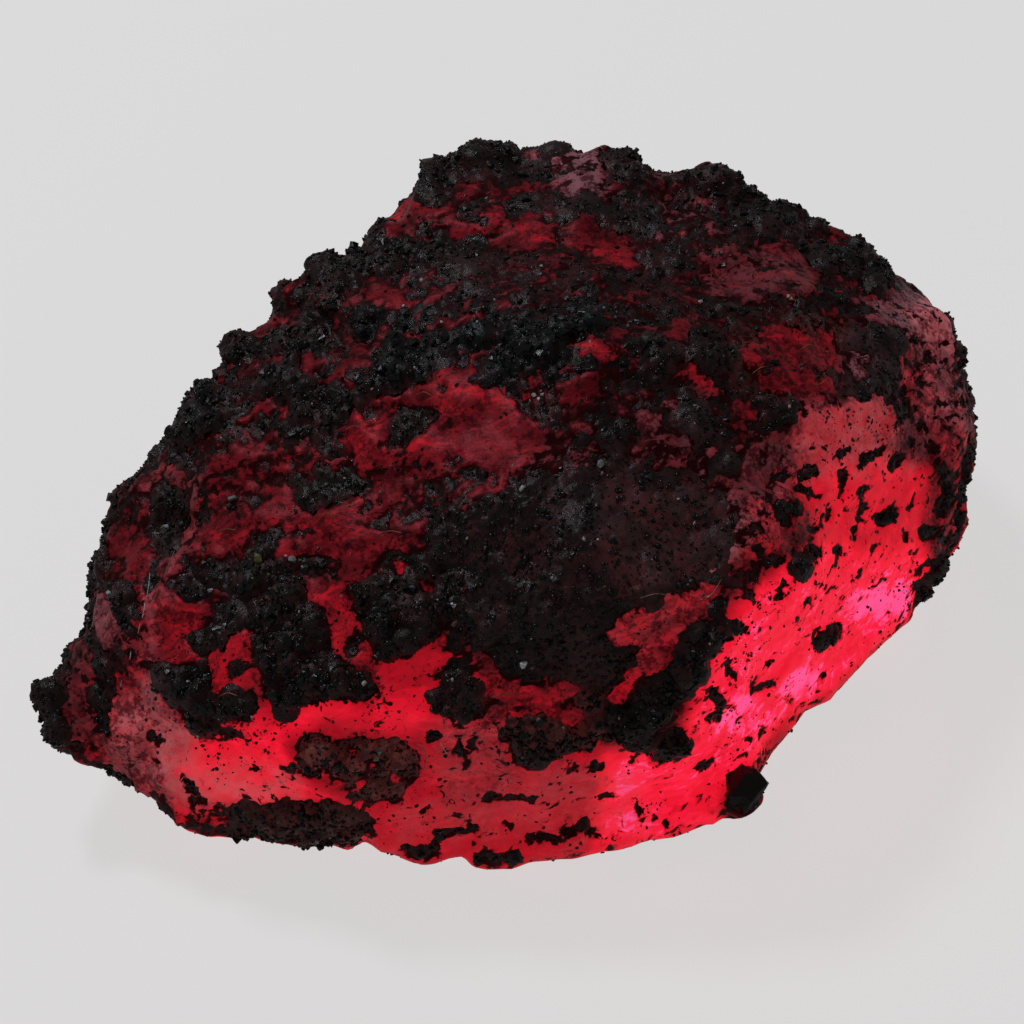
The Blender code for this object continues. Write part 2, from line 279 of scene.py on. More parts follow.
# Places where the ruby shows through.
bareWindows = [
    (-0.55, 0, (738, 436, 790, 428, 800, 480, 782, 532, 752, 560, 724, 566, 728, 530, 742, 500)),
    (-0.30, 0, (640, 400, 700, 396, 730, 440, 716, 472, 660, 470, 630, 440)),
    (-0.95, 0, (792, 402, 880, 397, 922, 430, 938, 470, 934, 520, 922, 565, 860, 600, 772, 575, 766, 540,
     780, 500, 796, 450)),
    (-0.35, 0, (925, 380, 965, 370, 975, 430, 965, 520, 940, 560, 935, 500, 940, 450)),
    (-1.0, 0, (438, 364, 450, 372, 464, 368, 472, 363, 478, 378, 482, 396, 500, 391, 514, 402, 524, 412,
     522, 436, 512, 450, 520, 470, 500, 478, 478, 462, 470, 455, 452, 458, 434, 440, 428, 424, 440, 420,
     430, 408, 412, 404, 406, 394, 420, 387, 440, 397, 452, 390, 444, 378), (352, 412, 362, 410, 370, 426,
     386, 424, 397, 430, 390, 440, 376, 436, 374, 452, 396, 458, 388, 466, 374, 472, 358, 466, 350, 452,
     336, 442, 344, 430), (262, 580, 272, 584, 270, 598, 254, 604, 244, 618, 240, 610, 246, 600, 258, 594)),
    (-0.9, 0, (404, 446, 420, 437, 440, 442, 440, 456, 420, 452, 408, 460)),
    (-0.7, 0, (296, 452, 312, 448, 322, 462, 304, 470)),
    (-0.8, 0, (266, 490, 284, 484, 290, 494, 276, 502), (380, 482, 388, 478, 396, 500, 386, 508), (392, 200,
     410, 192, 422, 206, 430, 214, 412, 222, 400, 236, 388, 234, 392, 216), (456, 190, 472, 180, 484, 192,
     474, 198, 456, 200)),
    (-0.75, 0, (222, 512, 250, 506, 300, 514, 330, 508, 352, 500, 362, 502, 360, 520, 330, 530, 300, 528,
     262, 534, 240, 548, 214, 560, 190, 560, 196, 536)),
    (-0.7, 0, (208, 462, 240, 440, 262, 450, 246, 478, 256, 492, 246, 506, 226, 496, 210, 486), (300, 536,
     330, 526, 400, 532, 402, 545, 380, 556, 372, 572, 356, 590, 330, 590, 340, 560, 324, 552, 306, 548),
     (272, 542, 292, 540, 296, 554, 276, 558)),
    (-0.95, 0, (392, 556, 404, 560, 406, 576, 396, 580, 388, 568)),
    (-0.9, 0, (404, 588, 418, 578, 436, 590, 444, 606, 448, 622, 441, 622, 436, 604, 420, 594, 406, 594),
     (484, 730, 488, 706, 500, 696, 520, 690, 540, 694, 556, 680, 574, 678, 578, 688, 566, 698, 580, 708,
     584, 722, 572, 728, 560, 716, 540, 712, 522, 712, 506, 722, 496, 732), (452, 234, 466, 226, 486, 218,
     500, 204, 520, 214, 540, 218, 556, 234, 546, 246, 524, 256, 506, 250, 498, 236, 476, 236, 456, 240),
     (682, 374, 694, 362, 706, 378, 728, 388, 730, 396, 710, 394, 694, 386)),
    (-1.0, 0, (330, 580, 346, 594, 352, 606, 356, 616, 350, 626, 352, 636, 342, 640, 336, 630, 324, 618,
     326, 606, 312, 596, 306, 584), (232, 640, 242, 622, 256, 630, 250, 642, 254, 656, 240, 664, 232, 676,
     258, 668, 262, 672, 250, 688, 216, 696, 194, 698, 206, 690, 212, 672, 206, 662, 218, 652), (606, 632,
     616, 622, 630, 610, 642, 600, 660, 596, 690, 596, 708, 588, 716, 562, 722, 574, 716, 596, 722, 606,
     704, 618, 690, 626, 680, 636, 676, 652, 660, 668, 648, 674, 640, 660, 632, 648, 616, 650), (610, 694,
     614, 684, 626, 672, 640, 668, 632, 682, 628, 696, 618, 702)),
    (-1.0, 5, (338, 634, 348, 650, 360, 662, 368, 676, 378, 680), (378, 636, 368, 642, 366, 662)),
    (-1.0, 3, (264, 720, 268, 704, 262, 692)),
    (-0.7, 0, (466, 656, 490, 662, 500, 680, 530, 684, 520, 692, 486, 706, 482, 690), (296, 360, 308, 350,
     318, 366, 308, 382, 298, 376), (662, 322, 690, 312, 704, 322, 684, 336, 664, 334), (730, 492, 748, 480,
     758, 500, 772, 516, 756, 514, 736, 504)),
    (-0.5, 0, (566, 216, 610, 216, 630, 232, 640, 268, 600, 262, 570, 244), (250, 320, 290, 306, 300, 316,
     276, 334, 256, 336)),
    (-0.75, 0, (518, 140, 600, 140, 614, 166, 594, 190, 576, 208, 556, 190, 534, 172), (364, 290, 384, 284,
     408, 296, 424, 302, 404, 310, 380, 308, 366, 300)),
    (-0.6, 0, (326, 316, 340, 308, 350, 318, 336, 326), (320, 378, 342, 368, 352, 384, 372, 392, 366, 402,
     344, 392, 324, 390), (240, 412, 262, 404, 278, 408, 262, 420, 244, 424)),
    (-0.7, 2, (442, 320, 456, 324, 474, 318)),
    (-0.85, 0, (578, 346, 592, 336, 604, 346, 618, 358, 600, 362, 584, 356), (744, 350, 766, 332, 800, 326,
     824, 330, 838, 344, 840, 370, 822, 392, 800, 398, 770, 394, 750, 376)),
    (-0.8, 0, (630, 362, 646, 356, 650, 368, 634, 372), (730, 420, 740, 404, 752, 400, 762, 408, 748, 424,
     740, 432), (896, 372, 900, 356, 910, 346, 924, 352, 918, 368, 906, 378), (86, 606, 100, 588, 112, 600,
     120, 630, 116, 650, 100, 640, 86, 626)),
    (-0.5, 0, (560, 388, 590, 374, 604, 390, 590, 406, 564, 404), (530, 420, 560, 430, 596, 434, 604, 452,
     560, 470, 524, 462, 520, 440), (672, 268, 700, 262, 716, 268, 700, 280, 676, 278), (104, 520, 118, 512,
     136, 530, 150, 548, 140, 580, 116, 576, 104, 550)),
    (-0.50, 0, (700, 262, 730, 244, 790, 248, 826, 272, 812, 300, 770, 308, 716, 298)),
    (-0.75, 0, (862, 300, 896, 282, 930, 300, 950, 318, 958, 350, 930, 346, 910, 328, 880, 322)),
    (-0.55, 0, (906, 350, 930, 340, 960, 352, 974, 400, 972, 450, 950, 470, 932, 440, 924, 410, 906, 396)),
    (-0.6, 0, (924, 380, 940, 350, 958, 356, 968, 390, 966, 430, 944, 420), (720, 540, 740, 534, 752, 548,
     742, 566, 728, 560), (140, 472, 156, 474, 170, 466, 186, 470, 182, 486, 160, 500, 142, 496)),
    (-0.9, 6, (792, 440, 800, 420, 812, 400)),
    (-0.7, 0, (60, 700, 72, 660, 92, 650, 96, 690, 98, 740, 70, 745)),
    (-0.95, 7, (196, 500, 186, 526, 172, 556, 160, 590)),
]

# Patches, lumps and strokes of crust, and a few bare spots in them.
crustPatches = [
    (1.0, 0, (272, 586, 292, 590, 306, 598, 322, 612, 326, 632, 338, 650, 352, 666, 372, 678, 376, 690,
     366, 702, 345, 700, 318, 700, 300, 706, 288, 714, 276, 708, 266, 694, 262, 680, 254, 664, 256, 648,
     250, 632, 246, 616, 258, 606), (140, 662, 162, 662, 180, 664, 204, 664, 210, 676, 204, 690, 190, 696,
     184, 706, 168, 700, 160, 688, 156, 674), (184, 704, 206, 700, 232, 696, 258, 700, 262, 708, 250, 716,
     232, 720, 214, 718, 212, 730, 200, 738, 188, 728, 180, 716)),
    (0.9, 0, (214, 604, 232, 600, 240, 612, 238, 632, 224, 640, 214, 626), (194, 626, 212, 628, 216, 644,
     206, 656, 192, 650), (212, 568, 238, 556, 264, 560, 288, 562, 310, 556, 326, 560, 322, 574, 304, 580,
     296, 592, 276, 586, 258, 582, 246, 594, 226, 594, 214, 584), (350, 588, 366, 576, 396, 574, 416, 586,
     434, 596, 440, 612, 442, 632, 428, 640, 410, 652, 388, 662, 374, 656, 384, 636, 368, 632, 356, 622,
     358, 604), (446, 662, 458, 660, 470, 672, 478, 690, 484, 714, 466, 722, 446, 714, 434, 708, 430, 696,
     446, 688, 450, 676), (232, 804, 268, 806, 300, 802, 332, 802, 356, 810, 372, 820, 372, 832, 352, 838,
     324, 842, 296, 840, 268, 842, 250, 828, 226, 816)),
    (0.8, 0, (230, 658, 250, 662, 240, 668, 230, 680, 226, 670), (250, 533, 274, 532, 278, 544, 262, 550,
     250, 545), (300, 500, 318, 480, 312, 462, 330, 470, 344, 462, 352, 470, 368, 476, 374, 490, 360, 496,
     344, 492, 322, 500, 312, 514), (386, 436, 404, 414, 424, 412, 430, 430, 410, 440, 404, 454, 392, 448),
     (342, 642, 358, 636, 360, 650, 352, 660, 344, 654)),
    (0.95, 0, (442, 530, 470, 506, 510, 492, 556, 480, 600, 474, 650, 474, 690, 484, 722, 500, 738, 520,
     728, 552, 712, 566, 700, 588, 664, 590, 640, 598, 618, 614, 604, 630, 612, 650, 634, 656, 636, 668,
     618, 680, 606, 696, 590, 714, 580, 702, 578, 680, 556, 676, 536, 686, 508, 676, 492, 656, 470, 650,
     458, 640, 446, 612, 440, 586, 436, 556)),
    (1.0, 0, (496, 732, 508, 720, 524, 712, 546, 716, 566, 728, 584, 726, 598, 716, 616, 704, 634, 694,
     650, 684, 664, 672, 676, 654, 684, 634, 698, 628, 714, 618, 718, 634, 712, 656, 704, 676, 694, 690,
     678, 694, 670, 712, 662, 728, 644, 740, 622, 742, 606, 744, 592, 752, 570, 756, 544, 760, 524, 770,
     514, 764, 510, 750, 498, 742)),
    (0.95, 0, (648, 744, 662, 738, 676, 730, 688, 732, 688, 748, 680, 758, 664, 760, 650, 758)),
    (0.36, 0, (298, 738, 316, 730, 334, 736, 356, 740, 380, 738, 402, 736, 414, 746, 424, 760, 422, 774,
     412, 786, 404, 804, 386, 800, 366, 806, 348, 800, 332, 788, 318, 780, 300, 776, 284, 774, 282, 766,
     296, 758)),
    (-1.0, 5, (360, 760, 374, 764, 364, 780, 356, 790), (324, 766, 330, 780, 340, 786)),
    (-0.9, 4, (392, 786, 398, 776)),
    (-0.8, 4, (304, 752, 312, 762)),
    (-0.9, 3, (348, 744, 352, 752)),
    (0.8, 6, (150, 806, 166, 812), (944, 478, 948, 500, 940, 512), (904, 414), (800, 318, 816, 322),
     (768, 368, 776, 364)),
    (0.9, 6, (236, 834, 300, 842, 352, 848), (784, 524, 780, 510, 800, 508)),
    (0.30, 0, (722, 816, 726, 778, 742, 764, 770, 780, 762, 804, 742, 818)),
    (0.8, 7, (404, 850, 436, 850), (480, 850, 512, 852)),
    (0.6, 3, (452, 816, 470, 822), (500, 820, 512, 824), (246, 764, 256, 768), (222, 742, 230, 738),
     (268, 752, 276, 750), (700, 640, 708, 650), (780, 640, 788, 634), (762, 656, 766, 664), (806, 600,
     812, 606), (842, 600), (788, 700, 796, 706), (820, 676, 826, 672), (740, 754, 746, 758), (700, 800,
     706, 796), (650, 814, 660, 816), (858, 520, 866, 524), (826, 508, 830, 516), (600, 796, 614, 794),
     (672, 804, 682, 804)),
    (0.6, 2.5, (420, 812, 430, 806), (276, 788, 288, 786), (872, 590, 878, 584)),
    (0.6, 4, (748, 596, 756, 604), (632, 800, 640, 806), (640, 752, 632, 764)),
    (0.7, 4.5, (436, 836, 458, 830, 476, 828)),
    (0.7, 4, (530, 834, 560, 832, 590, 826), (456, 740, 464, 760)),
    (0.7, 3, (486, 796, 498, 798), (472, 736, 472, 750), (560, 778, 558, 784), (797, 621), (872, 548)),
    (0.7, 4.5, (510, 798, 532, 800)),
    (0.8, 5, (428, 736, 436, 734), (922, 426)),
    (0.8, 8, (598, 766), (108, 770, 124, 788), (100, 540, 96, 560)),
    (0.6, 3, (568, 772, 576, 766)),
    (0.8, 4, (700, 768, 712, 762)),
    (0.9, 8, (716, 610, 722, 606)),
    (0.95, 7, (734, 628, 742, 628)),
    (0.8, 4, (726, 640), (748, 738)),
    (0.85, 5, (730, 662, 732, 674), (782, 588, 780, 598)),
    (0.9, 4, (752, 690, 764, 686, 774, 682)),
    (0.9, 7, (714, 696, 720, 700), (804, 474, 814, 468)),
    (0.8, 7, (712, 720, 718, 716)),
    (0.7, 4, (728, 706, 736, 708)),
    (0.6, 6, (764, 730)),
    (0.95, 8, (796, 568, 806, 560, 814, 550)),
    (0.85, 6, (770, 564, 782, 556)),
    (0.85, 5, (802, 486, 818, 494)),
    (0.95, 4, (842, 492, 844, 474)),
    (0.95, 5, (862, 492, 864, 500)),
    (0.8, 3, (847, 512)),
    (0.95, 4, (854, 531)),
    (0.8, 4, (836, 548, 838, 554)),
    (0.7, 5, (812, 532, 818, 526), (152, 736, 162, 738)),
    (0.6, 5, (824, 588, 832, 586)),
    (0.6, 3, (852, 578)),
    (0.85, 9, (820, 640, 836, 630)),
    (0.9, 5, (866, 464, 870, 456), (880, 450), (838, 454, 846, 450)),
    (0.9, 7, (892, 464, 902, 456), (788, 410, 798, 408), (572, 268, 580, 262)),
    (0.75, 8, (880, 520, 892, 512)),
    (0.7, 4, (910, 504, 916, 494)),
    (0.7, 6, (924, 530, 942, 538)),
    (0.7, 4, (904, 538)),
    (0.9, 9, (950, 560, 936, 578, 924, 592)),
    (0.9, 6, (962, 520, 966, 480)),
    (0.8, 5, (910, 440, 916, 450), (820, 370, 834, 372), (184, 588, 206, 592)),
    (0.6, 10, (880, 340, 884, 380, 862, 392)),
    (0.9, 9, (868, 340, 890, 336, 890, 370)),
    (1.0, 10, (590, 322, 560, 330, 540, 345)),
    (1.0, 14, (520, 330, 530, 352, 506, 360), (712, 178, 728, 184, 742, 196)),
    (0.9, 10, (440, 340, 480, 334, 420, 346)),
    (0.9, 12, (330, 262, 370, 262, 420, 250, 470, 250), (430, 166, 480, 160, 540, 168), (780, 214, 740, 210),
     (196, 402, 212, 392, 206, 424, 184, 430)),
    (0.9, 10, (512, 206, 530, 204)),
    (1.0, 12, (612, 160, 628, 156, 634, 164), (50, 690, 46, 712, 56, 732)),
    (0.8, 7, (470, 214, 484, 222), (436, 186, 452, 178)),
    (0.85, 8, (560, 200, 584, 206)),
    (0.7, 6, (424, 228, 438, 240), (520, 256, 542, 264)),
    (0.9, 10, (640, 200, 648, 222, 620, 224), (270, 384, 300, 392, 350, 398, 390, 380, 400, 360), (640, 345,
     680, 350, 720, 360)),
    (1.0, 10, (688, 172)),
    (0.8, 12, (820, 250, 850, 262, 880, 276)),
    (0.9, 8, (330, 410, 300, 412), (240, 350, 280, 344, 330, 342), (120, 600, 124, 620), (96, 650, 108, 668,
     98, 686, 108, 690)),
    (0.8, 10, (690, 410, 720, 430, 700, 440)),
    (1.0, 13, (170, 500, 176, 520, 166, 540)),
    (0.8, 6, (100, 700, 104, 730)),
    (0.8, 4, (156, 762)),
    (0.25, 7, (186, 780, 200, 796)),
    (0.7, 5, (152, 582, 158, 560)),
]

# Painted glow: how much red light is painted on the ruby as emission, standing in for light coming up through
# the stone, from 0, none, to 1, glaring.
glowPlan = [
    (0.050, 0, (0, 0, 1024, 0, 1024, 1024, 0, 1024)),
    (0.074, 0, (130, 440, 440, 360, 540, 380, 540, 500, 440, 560, 420, 600, 250, 620, 130, 620)),
    (0.058, 0, (244, 466, 420, 466, 424, 500, 400, 512, 250, 504)),
    (0.135, 0, (130, 590, 215, 590, 200, 640, 190, 665, 130, 665)),
    (0.24, 0, (190, 640, 250, 580, 275, 590, 262, 690, 200, 702)),
    (0.125, 0, (60, 660, 170, 660, 190, 720, 150, 800, 60, 760)),
    (0.065, 0, (50, 660, 94, 650, 102, 740, 60, 760)),
    (0.15, 0, (116, 700, 158, 700, 176, 760, 160, 792, 120, 770)),
    (0.22, 0, (306, 584, 356, 600, 384, 640, 366, 668, 330, 650)),
    (0.345, 0, (150, 735, 220, 710, 270, 700, 310, 690, 370, 690, 385, 655, 430, 636, 470, 660, 500, 700,
     600, 740, 640, 760, 600, 870, 400, 870, 300, 850, 180, 820)),
    (0.64, 0, (196, 735, 262, 715, 292, 722, 296, 780, 330, 790, 335, 800, 210, 798, 180, 770)),
    (0.66, 0, (286, 722, 310, 702, 350, 700, 360, 716, 330, 722, 300, 732)),
    (0.52, 0, (372, 700, 425, 690, 432, 720, 410, 735, 370, 730)),
    (0.25, 0, (290, 735, 425, 735, 425, 775, 390, 800, 320, 790, 290, 775)),
    (0.26, 0, (440, 725, 500, 730, 520, 775, 500, 800, 450, 800)),
    (0.80, 0, (610, 750, 700, 740, 720, 812, 640, 838, 590, 845, 602, 790)),
    (0.16, 0, (600, 590, 725, 560, 725, 600, 690, 640, 650, 670, 610, 650)),
    (0.26, 0, (606, 672, 650, 664, 640, 704, 606, 704)),
    (0.17, 0, (480, 676, 590, 676, 590, 735, 480, 735)),
    (0.77, 0, (685, 740, 690, 690, 722, 620, 760, 580, 800, 560, 850, 500, 900, 500, 935, 560, 900, 620,
     830, 690, 775, 745, 712, 812)),
    (0.52, 0, (800, 480, 820, 450, 880, 445, 930, 470, 925, 540, 860, 550, 810, 540)),
    (0.31, 0, (790, 440, 805, 400, 880, 395, 905, 430, 870, 452, 800, 470)),
    (0.16, 0, (735, 520, 790, 470, 800, 520, 770, 560, 735, 560)),
    (0.10, 0, (730, 330, 840, 325, 840, 400, 730, 400)),
    (0.15, 0, (890, 345, 925, 340, 925, 385, 890, 385)),
    (0.115, 0, (900, 330, 975, 340, 985, 500, 945, 500, 930, 430, 905, 400)),
    (0.20, 0, (940, 440, 975, 440, 970, 540, 935, 540)),
    (0.22, 0, (908, 308, 940, 298, 960, 318, 958, 352, 926, 350)),
    (0.20, 8, (446, 398, 470, 392, 500, 398, 514, 406)),
    (0.18, 7, (438, 370, 448, 384)),
    (0.19, 8, (362, 418, 366, 444, 362, 460)),
    (0.18, 6, (390, 448, 430, 442)),
    (0.17, 8, (590, 344, 606, 354), (394, 216, 414, 202)),
    (0.20, 7, (690, 370, 712, 390)),
    (0.115, 10, (468, 234, 500, 216, 544, 240)),
    (0.105, 8, (560, 246, 620, 258)),
    (0.24, 6, (350, 506, 362, 502)),
    (0.28, 6, (396, 562, 402, 576)),
    (0.22, 6, (408, 590, 436, 598)),
    (0.10, 9, (222, 540, 300, 520, 346, 516)),
    (1.08, 14, (858, 606, 900, 596)),
    (1.15, 9, (792, 690, 804, 676)),
    (1.15, 10, (728, 716, 745, 706)),
    (1.0, 11, (750, 724, 772, 714)),
]

# How much pale dust and haze lies on the bare ruby. In places it is partly a painted sheen, a paler cast
# where faces catch the light, and where it is strong it gets a painted glow of its own.
hazePlan = [
    (0.03, 0, (0, 0, 1024, 0, 1024, 1024, 0, 1024)),
    (0.25, 0, (50, 660, 96, 650, 104, 740, 60, 750)),
    (0.70, 0, (84, 600, 100, 584, 116, 600, 124, 640, 118, 656, 96, 645)),
    (1.05, 0, (110, 710, 140, 690, 150, 600, 150, 660, 190, 730, 200, 800, 110, 780)),
    (0.45, 7, (204, 482, 186, 526, 170, 558, 158, 600)),
    (0.90, 0, (190, 762, 290, 775, 300, 802, 200, 806)),
    (0.30, 0, (440, 720, 500, 700, 520, 770, 640, 760, 640, 830, 380, 845, 400, 810, 440, 800), (700, 258,
     730, 244, 800, 248, 820, 290, 760, 310, 710, 300), (130, 466, 190, 466, 180, 500, 140, 500)),
    (1.35, 0, (866, 304, 900, 284, 930, 300, 970, 350, 972, 430, 930, 420, 910, 340)),
    (3.20, 0, (912, 312, 940, 298, 960, 318, 956, 354, 926, 350)),
    (1.20, 0, (524, 142, 606, 142, 612, 168, 588, 196, 556, 190)),
    (0.60, 0, (446, 262, 490, 258, 490, 286, 452, 292)),
    (0.40, 0, (736, 440, 790, 430, 800, 480, 780, 540, 730, 560), (630, 396, 720, 396, 730, 470, 640, 470)),
    (0.60, 0, (780, 470, 792, 400, 880, 390, 930, 400, 960, 440, 905, 465, 850, 475)),
    (0.35, 0, (510, 466, 580, 430, 680, 430, 720, 460, 720, 480, 560, 490)),
    (1.30, 0, (600, 480, 700, 470, 745, 520, 720, 570, 650, 590, 590, 570)),
    (0.85, 0, (846, 316, 896, 320, 900, 400, 850, 400)),
    (0.45, 0, (640, 200, 720, 196, 730, 256, 650, 262)),
    (0.35, 0, (440, 520, 600, 480, 600, 640, 520, 680, 460, 640)),
    (0.22, 0, (600, 600, 720, 590, 700, 630, 640, 670, 606, 640)),
]

# How far the stone stands out or sinks in against the plain crystal, in millimetres.
swellPlan = [
    (0.26, 22, (490, 858, 560, 852, 620, 842, 700, 820)),
    (0.20, 16, (835, 695, 870, 655, 900, 622)),
    (0.12, 8, (234, 330, 240, 324)),
    (0.26, 11, (252, 316, 282, 294)),
    (0.16, 13, (210, 398, 188, 412, 176, 430)),
    (0.12, 10, (372, 236, 416, 184), (506, 146, 600, 150)),
    (-0.12, 10, (772, 742, 800, 712)),
    (0.14, 10, (836, 218, 870, 240)),
    (0.16, 9, (684, 168, 716, 176, 740, 186)),
    (-0.30, 18, (92, 500, 76, 560, 70, 620)),
    (-0.20, 14, (418, 152, 392, 205)),
    (-0.25, 14, (250, 852, 360, 854), (150, 436, 170, 410)),
    (-0.16, 14, (968, 330, 985, 400, 980, 480, 955, 560)),
    (-0.12, 10, (650, 166, 690, 164)),
    (0.10, 5, (204, 481, 186, 526, 172, 556, 163, 586, 155, 610)),
    (-0.16, 12, (172, 496, 178, 520, 166, 545)),
]

# How rusty brown the crust is, from 0 to 1.
rustPlan = [
    (0.10, 0, (0, 0, 1024, 0, 1024, 1024, 0, 1024)),
    (1.00, 0, (290, 735, 425, 735, 425, 790, 390, 805, 320, 790, 290, 775)),
    (0.30, 0, (600, 490, 700, 480, 740, 520, 720, 560, 650, 600, 600, 600)),
    (0.50, 0, (480, 690, 600, 690, 600, 740, 500, 760)),
    (0.40, 0, (200, 800, 372, 804, 372, 842, 220, 840)),
    (0.00, 0, (340, 300, 640, 290, 640, 380, 360, 380)),
    (0.60, 0, (740, 320, 850, 320, 850, 400, 740, 400)),
]

# How lumpy the crust is, from 0, a smooth film, to 1, heaped grains.
lumpPlan = [
    (0.68, 0, (0, 0, 1024, 0, 1024, 1024, 0, 1024)),
    (0.90, 0, (230, 300, 330, 250, 500, 240, 560, 300, 440, 350, 380, 470, 200, 480, 160, 420)),
    (0.16, 0, (440, 520, 560, 476, 700, 470, 745, 520, 730, 570, 660, 596, 600, 640, 500, 600, 450, 570)),
    (0.30, 0, (480, 590, 600, 580, 610, 680, 560, 690, 500, 670), (840, 310, 900, 310, 910, 400, 840, 400)),
    (0.35, 0, (440, 170, 600, 150, 660, 220, 620, 300, 440, 300)),
    (0.55, 0, (290, 730, 425, 730, 425, 800, 370, 840, 200, 830, 230, 800, 290, 775)),
    (0.95, 0, (288, 732, 358, 732, 352, 792, 288, 778), (140, 660, 212, 660, 212, 740, 180, 720), (498, 300,
     640, 290, 640, 350, 560, 400, 500, 370)),
    (1.00, 0, (248, 580, 330, 590, 380, 680, 350, 710, 270, 712), (350, 580, 400, 572, 446, 600, 440, 640,
     380, 662, 356, 640)),
    (0.90, 0, (494, 708, 600, 712, 700, 625, 722, 620, 690, 765, 640, 765, 520, 772)),
    (0.00, 0, (716, 806, 728, 772, 750, 762, 776, 780, 760, 806, 740, 820)),
]


def fineCopy(name, cell):
    # an even, closed skin of small cells over the crystal, in millimetres
    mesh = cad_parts["ruby_crystal"].data.copy()
    mesh.transform(Matrix.Scale(1.0 / mm, 4))
    rough = addToScene(name + "Source", mesh)
    cells = rough.modifiers.new("cells", "REMESH")
    cells.mode = "VOXEL"
    cells.voxel_size = cell
    soften = rough.modifiers.new("soften", "SMOOTH")
    soften.factor = 0.5
    soften.iterations = 2
    graph = bpy.context.evaluated_depsgraph_get()
    skin = bpy.data.meshes.new_from_object(rough.evaluated_get(graph))
    bpy.data.objects.remove(rough)
    skin.name = name
    skin.materials.clear()
    return addToScene(name, skin)


def readPoints(mesh):
    # the corners and the way out of the surface at each
    values = np.empty((2, len(mesh.vertices) * 3), np.float32)
    mesh.vertices.foreach_get("co", values[0])
    mesh.vertices.foreach_get("normal", values[1])
    return values.astype(float).reshape(2, -1, 3)


def readFloats(mesh, name):
    values = np.empty(len(mesh.vertices), np.float32)
    mesh.attributes[name].data.foreach_get("value", values)
    return values.astype(float)


def addFloats(mesh, **fields):
    for name, values in fields.items():
        mesh.attributes.new(name, "FLOAT", "POINT").data.foreach_set("value", values.astype(np.float32))


coverLook = {
    "wobble": 5.0,          # how far the outlines wander, in units of the picture
    "fineWobble": 4.5,
    "zoneSoft": 16.0,
    "edgeSoft": 5.0,
    "grow": -1.6,           # below 0 every patch is drawn inside its outline
    "worn": 0.86,           # how clean the bare windows are
    "broadPatch": 0.50,
    "smallPatch": 0.70,
    "ragged": 0.62,
    "hiddenCover": 0.20,
}


def layered(points):
    # squeezed so that patches run along the growth layers of the stone
    right = np.array(cameraAxes()[0])
    forward = np.array((-right[1], right[0], 0.0))
    return np.stack([points @ right / 1.8, points @ forward * 0.95, points[:, 2] * 1.3], axis=1)


def facingShare(normals, low=0.02, high=0.22):
    # from 0, turned away from the lens, to 1, well in its view
    return ease(normals @ np.array(cameraAxes()[2]), low, high)


def coverField(points, normals):
    # above 0 the black crust lies on the ruby, below 0 the ruby is bare
    u, v = seenAt(points)
    facing = facingShare(normals)
    wide, fine, soft = coverLook["wobble"], coverLook["fineWobble"], coverLook["edgeSoft"]
    u = u + wide * ripple(points, 0.55, 1) + fine * ripple(points, 0.2, 2)
    v = v + wide * ripple(points, 0.55, 3) + fine * ripple(points, 0.2, 4)
    placed = paint(np.zeros(len(points)), u, v, crustZones, coverLook["zoneSoft"])
    paint(placed, u, v, bareWindows, soft, 0.0, coverLook["worn"])
    paint(placed, u, v, crustPatches, soft, coverLook["grow"])
    hidden = coverLook["hiddenCover"] + 0.75 * ripple(points, 3.4, 5) + 0.5 * ripple(points, 1.5, 6)
    hidden -= 0.5 * ease(points[:, 2], 3.5, 0.5)
    field = placed * facing + hidden * (1.0 - facing)
    rows = layered(points)
    field += coverLook["broadPatch"] * ripple(rows, 0.75, 7)
    field += coverLook["smallPatch"] * ripple(rows, 0.30, 8)
    return field + coverLook["ragged"] * ripple(points, 0.14, 9)


def paintedField(points, normals, plan, soft, elsewhere, wander, turned=(0.02, 0.22)):
    # one of the plans above on the side that shows it, and a plain rule round the rest of the stone
    u, v = seenAt(points)
    u = u + wander * ripple(points, 0.9, 31)
    v = v + wander * ripple(points, 0.9, 32)
    facing = facingShare(normals, *turned)
    return paint(np.zeros(len(points)), u, v, plan, soft) * facing + elsewhere * (1.0 - facing)


def glowField(points, normals):
    # round the hidden sides the painted glow is brighter towards the bottom of the stone
    low = ease(points[:, 2], 6.0, 0.8)
    around = 0.03 + 0.5 * low * (0.75 + 0.5 * ripple(points, 3.0, 33))
    return paintedField(points, normals, glowPlan, 13.0, around, 7.0)


# How soft each field's edges are, how far they wander, and what the hidden sides get:
# a middle value, and the height, size and seed of the ripples round it.
fieldLook = {
    "haze": (17.0, 12.0, 0.06, 0.3, 2.2, 34),
    "lump": (10.0, 5.0, 0.55, 0.6, 2.6, 36),
    "rust": (12.0, 6.0, 0.25, 0.5, 2.4, 37),
}


def mottledField(points, normals, plan, name):
    soft, wander, middle, height, size, seed = fieldLook[name]
    around = np.clip(middle + height * ripple(points, size, seed), 0.0, 1.0)
    return paintedField(points, normals, plan, soft, around, wander)


def hazeField(points, normals):
    clouds = 1.0 + 0.5 * ripple(points, 0.4, 35) + 0.6 * ripple(points, 0.2, 38)
    return np.clip(mottledField(points, normals, hazePlan, "haze") * clouds, 0.0, 2.0)


def keepInside(points):
    # nothing stands further out of the crystal's own box than a thin crust does, or under the floor
    low, high = [np.array(corner) / mm for corner in cadBounds]
    proud = np.array((0.28, 0.24, 0.2))
    kept = np.clip(points, low - proud, high + proud)
    kept[:, 2] = np.maximum(kept[:, 2], 0.0)
    return kept


def movePoints(mesh, points):
    mesh.vertices.foreach_set("co", keepInside(points).astype(np.float32).ravel())
    mesh.update()


rubyShape = {
    "cell": 0.125,
    "dents": 0.05,
    "steps": 0.03,
    "sunk": 0.13,           # how far the ruby lies lower under the crust
}


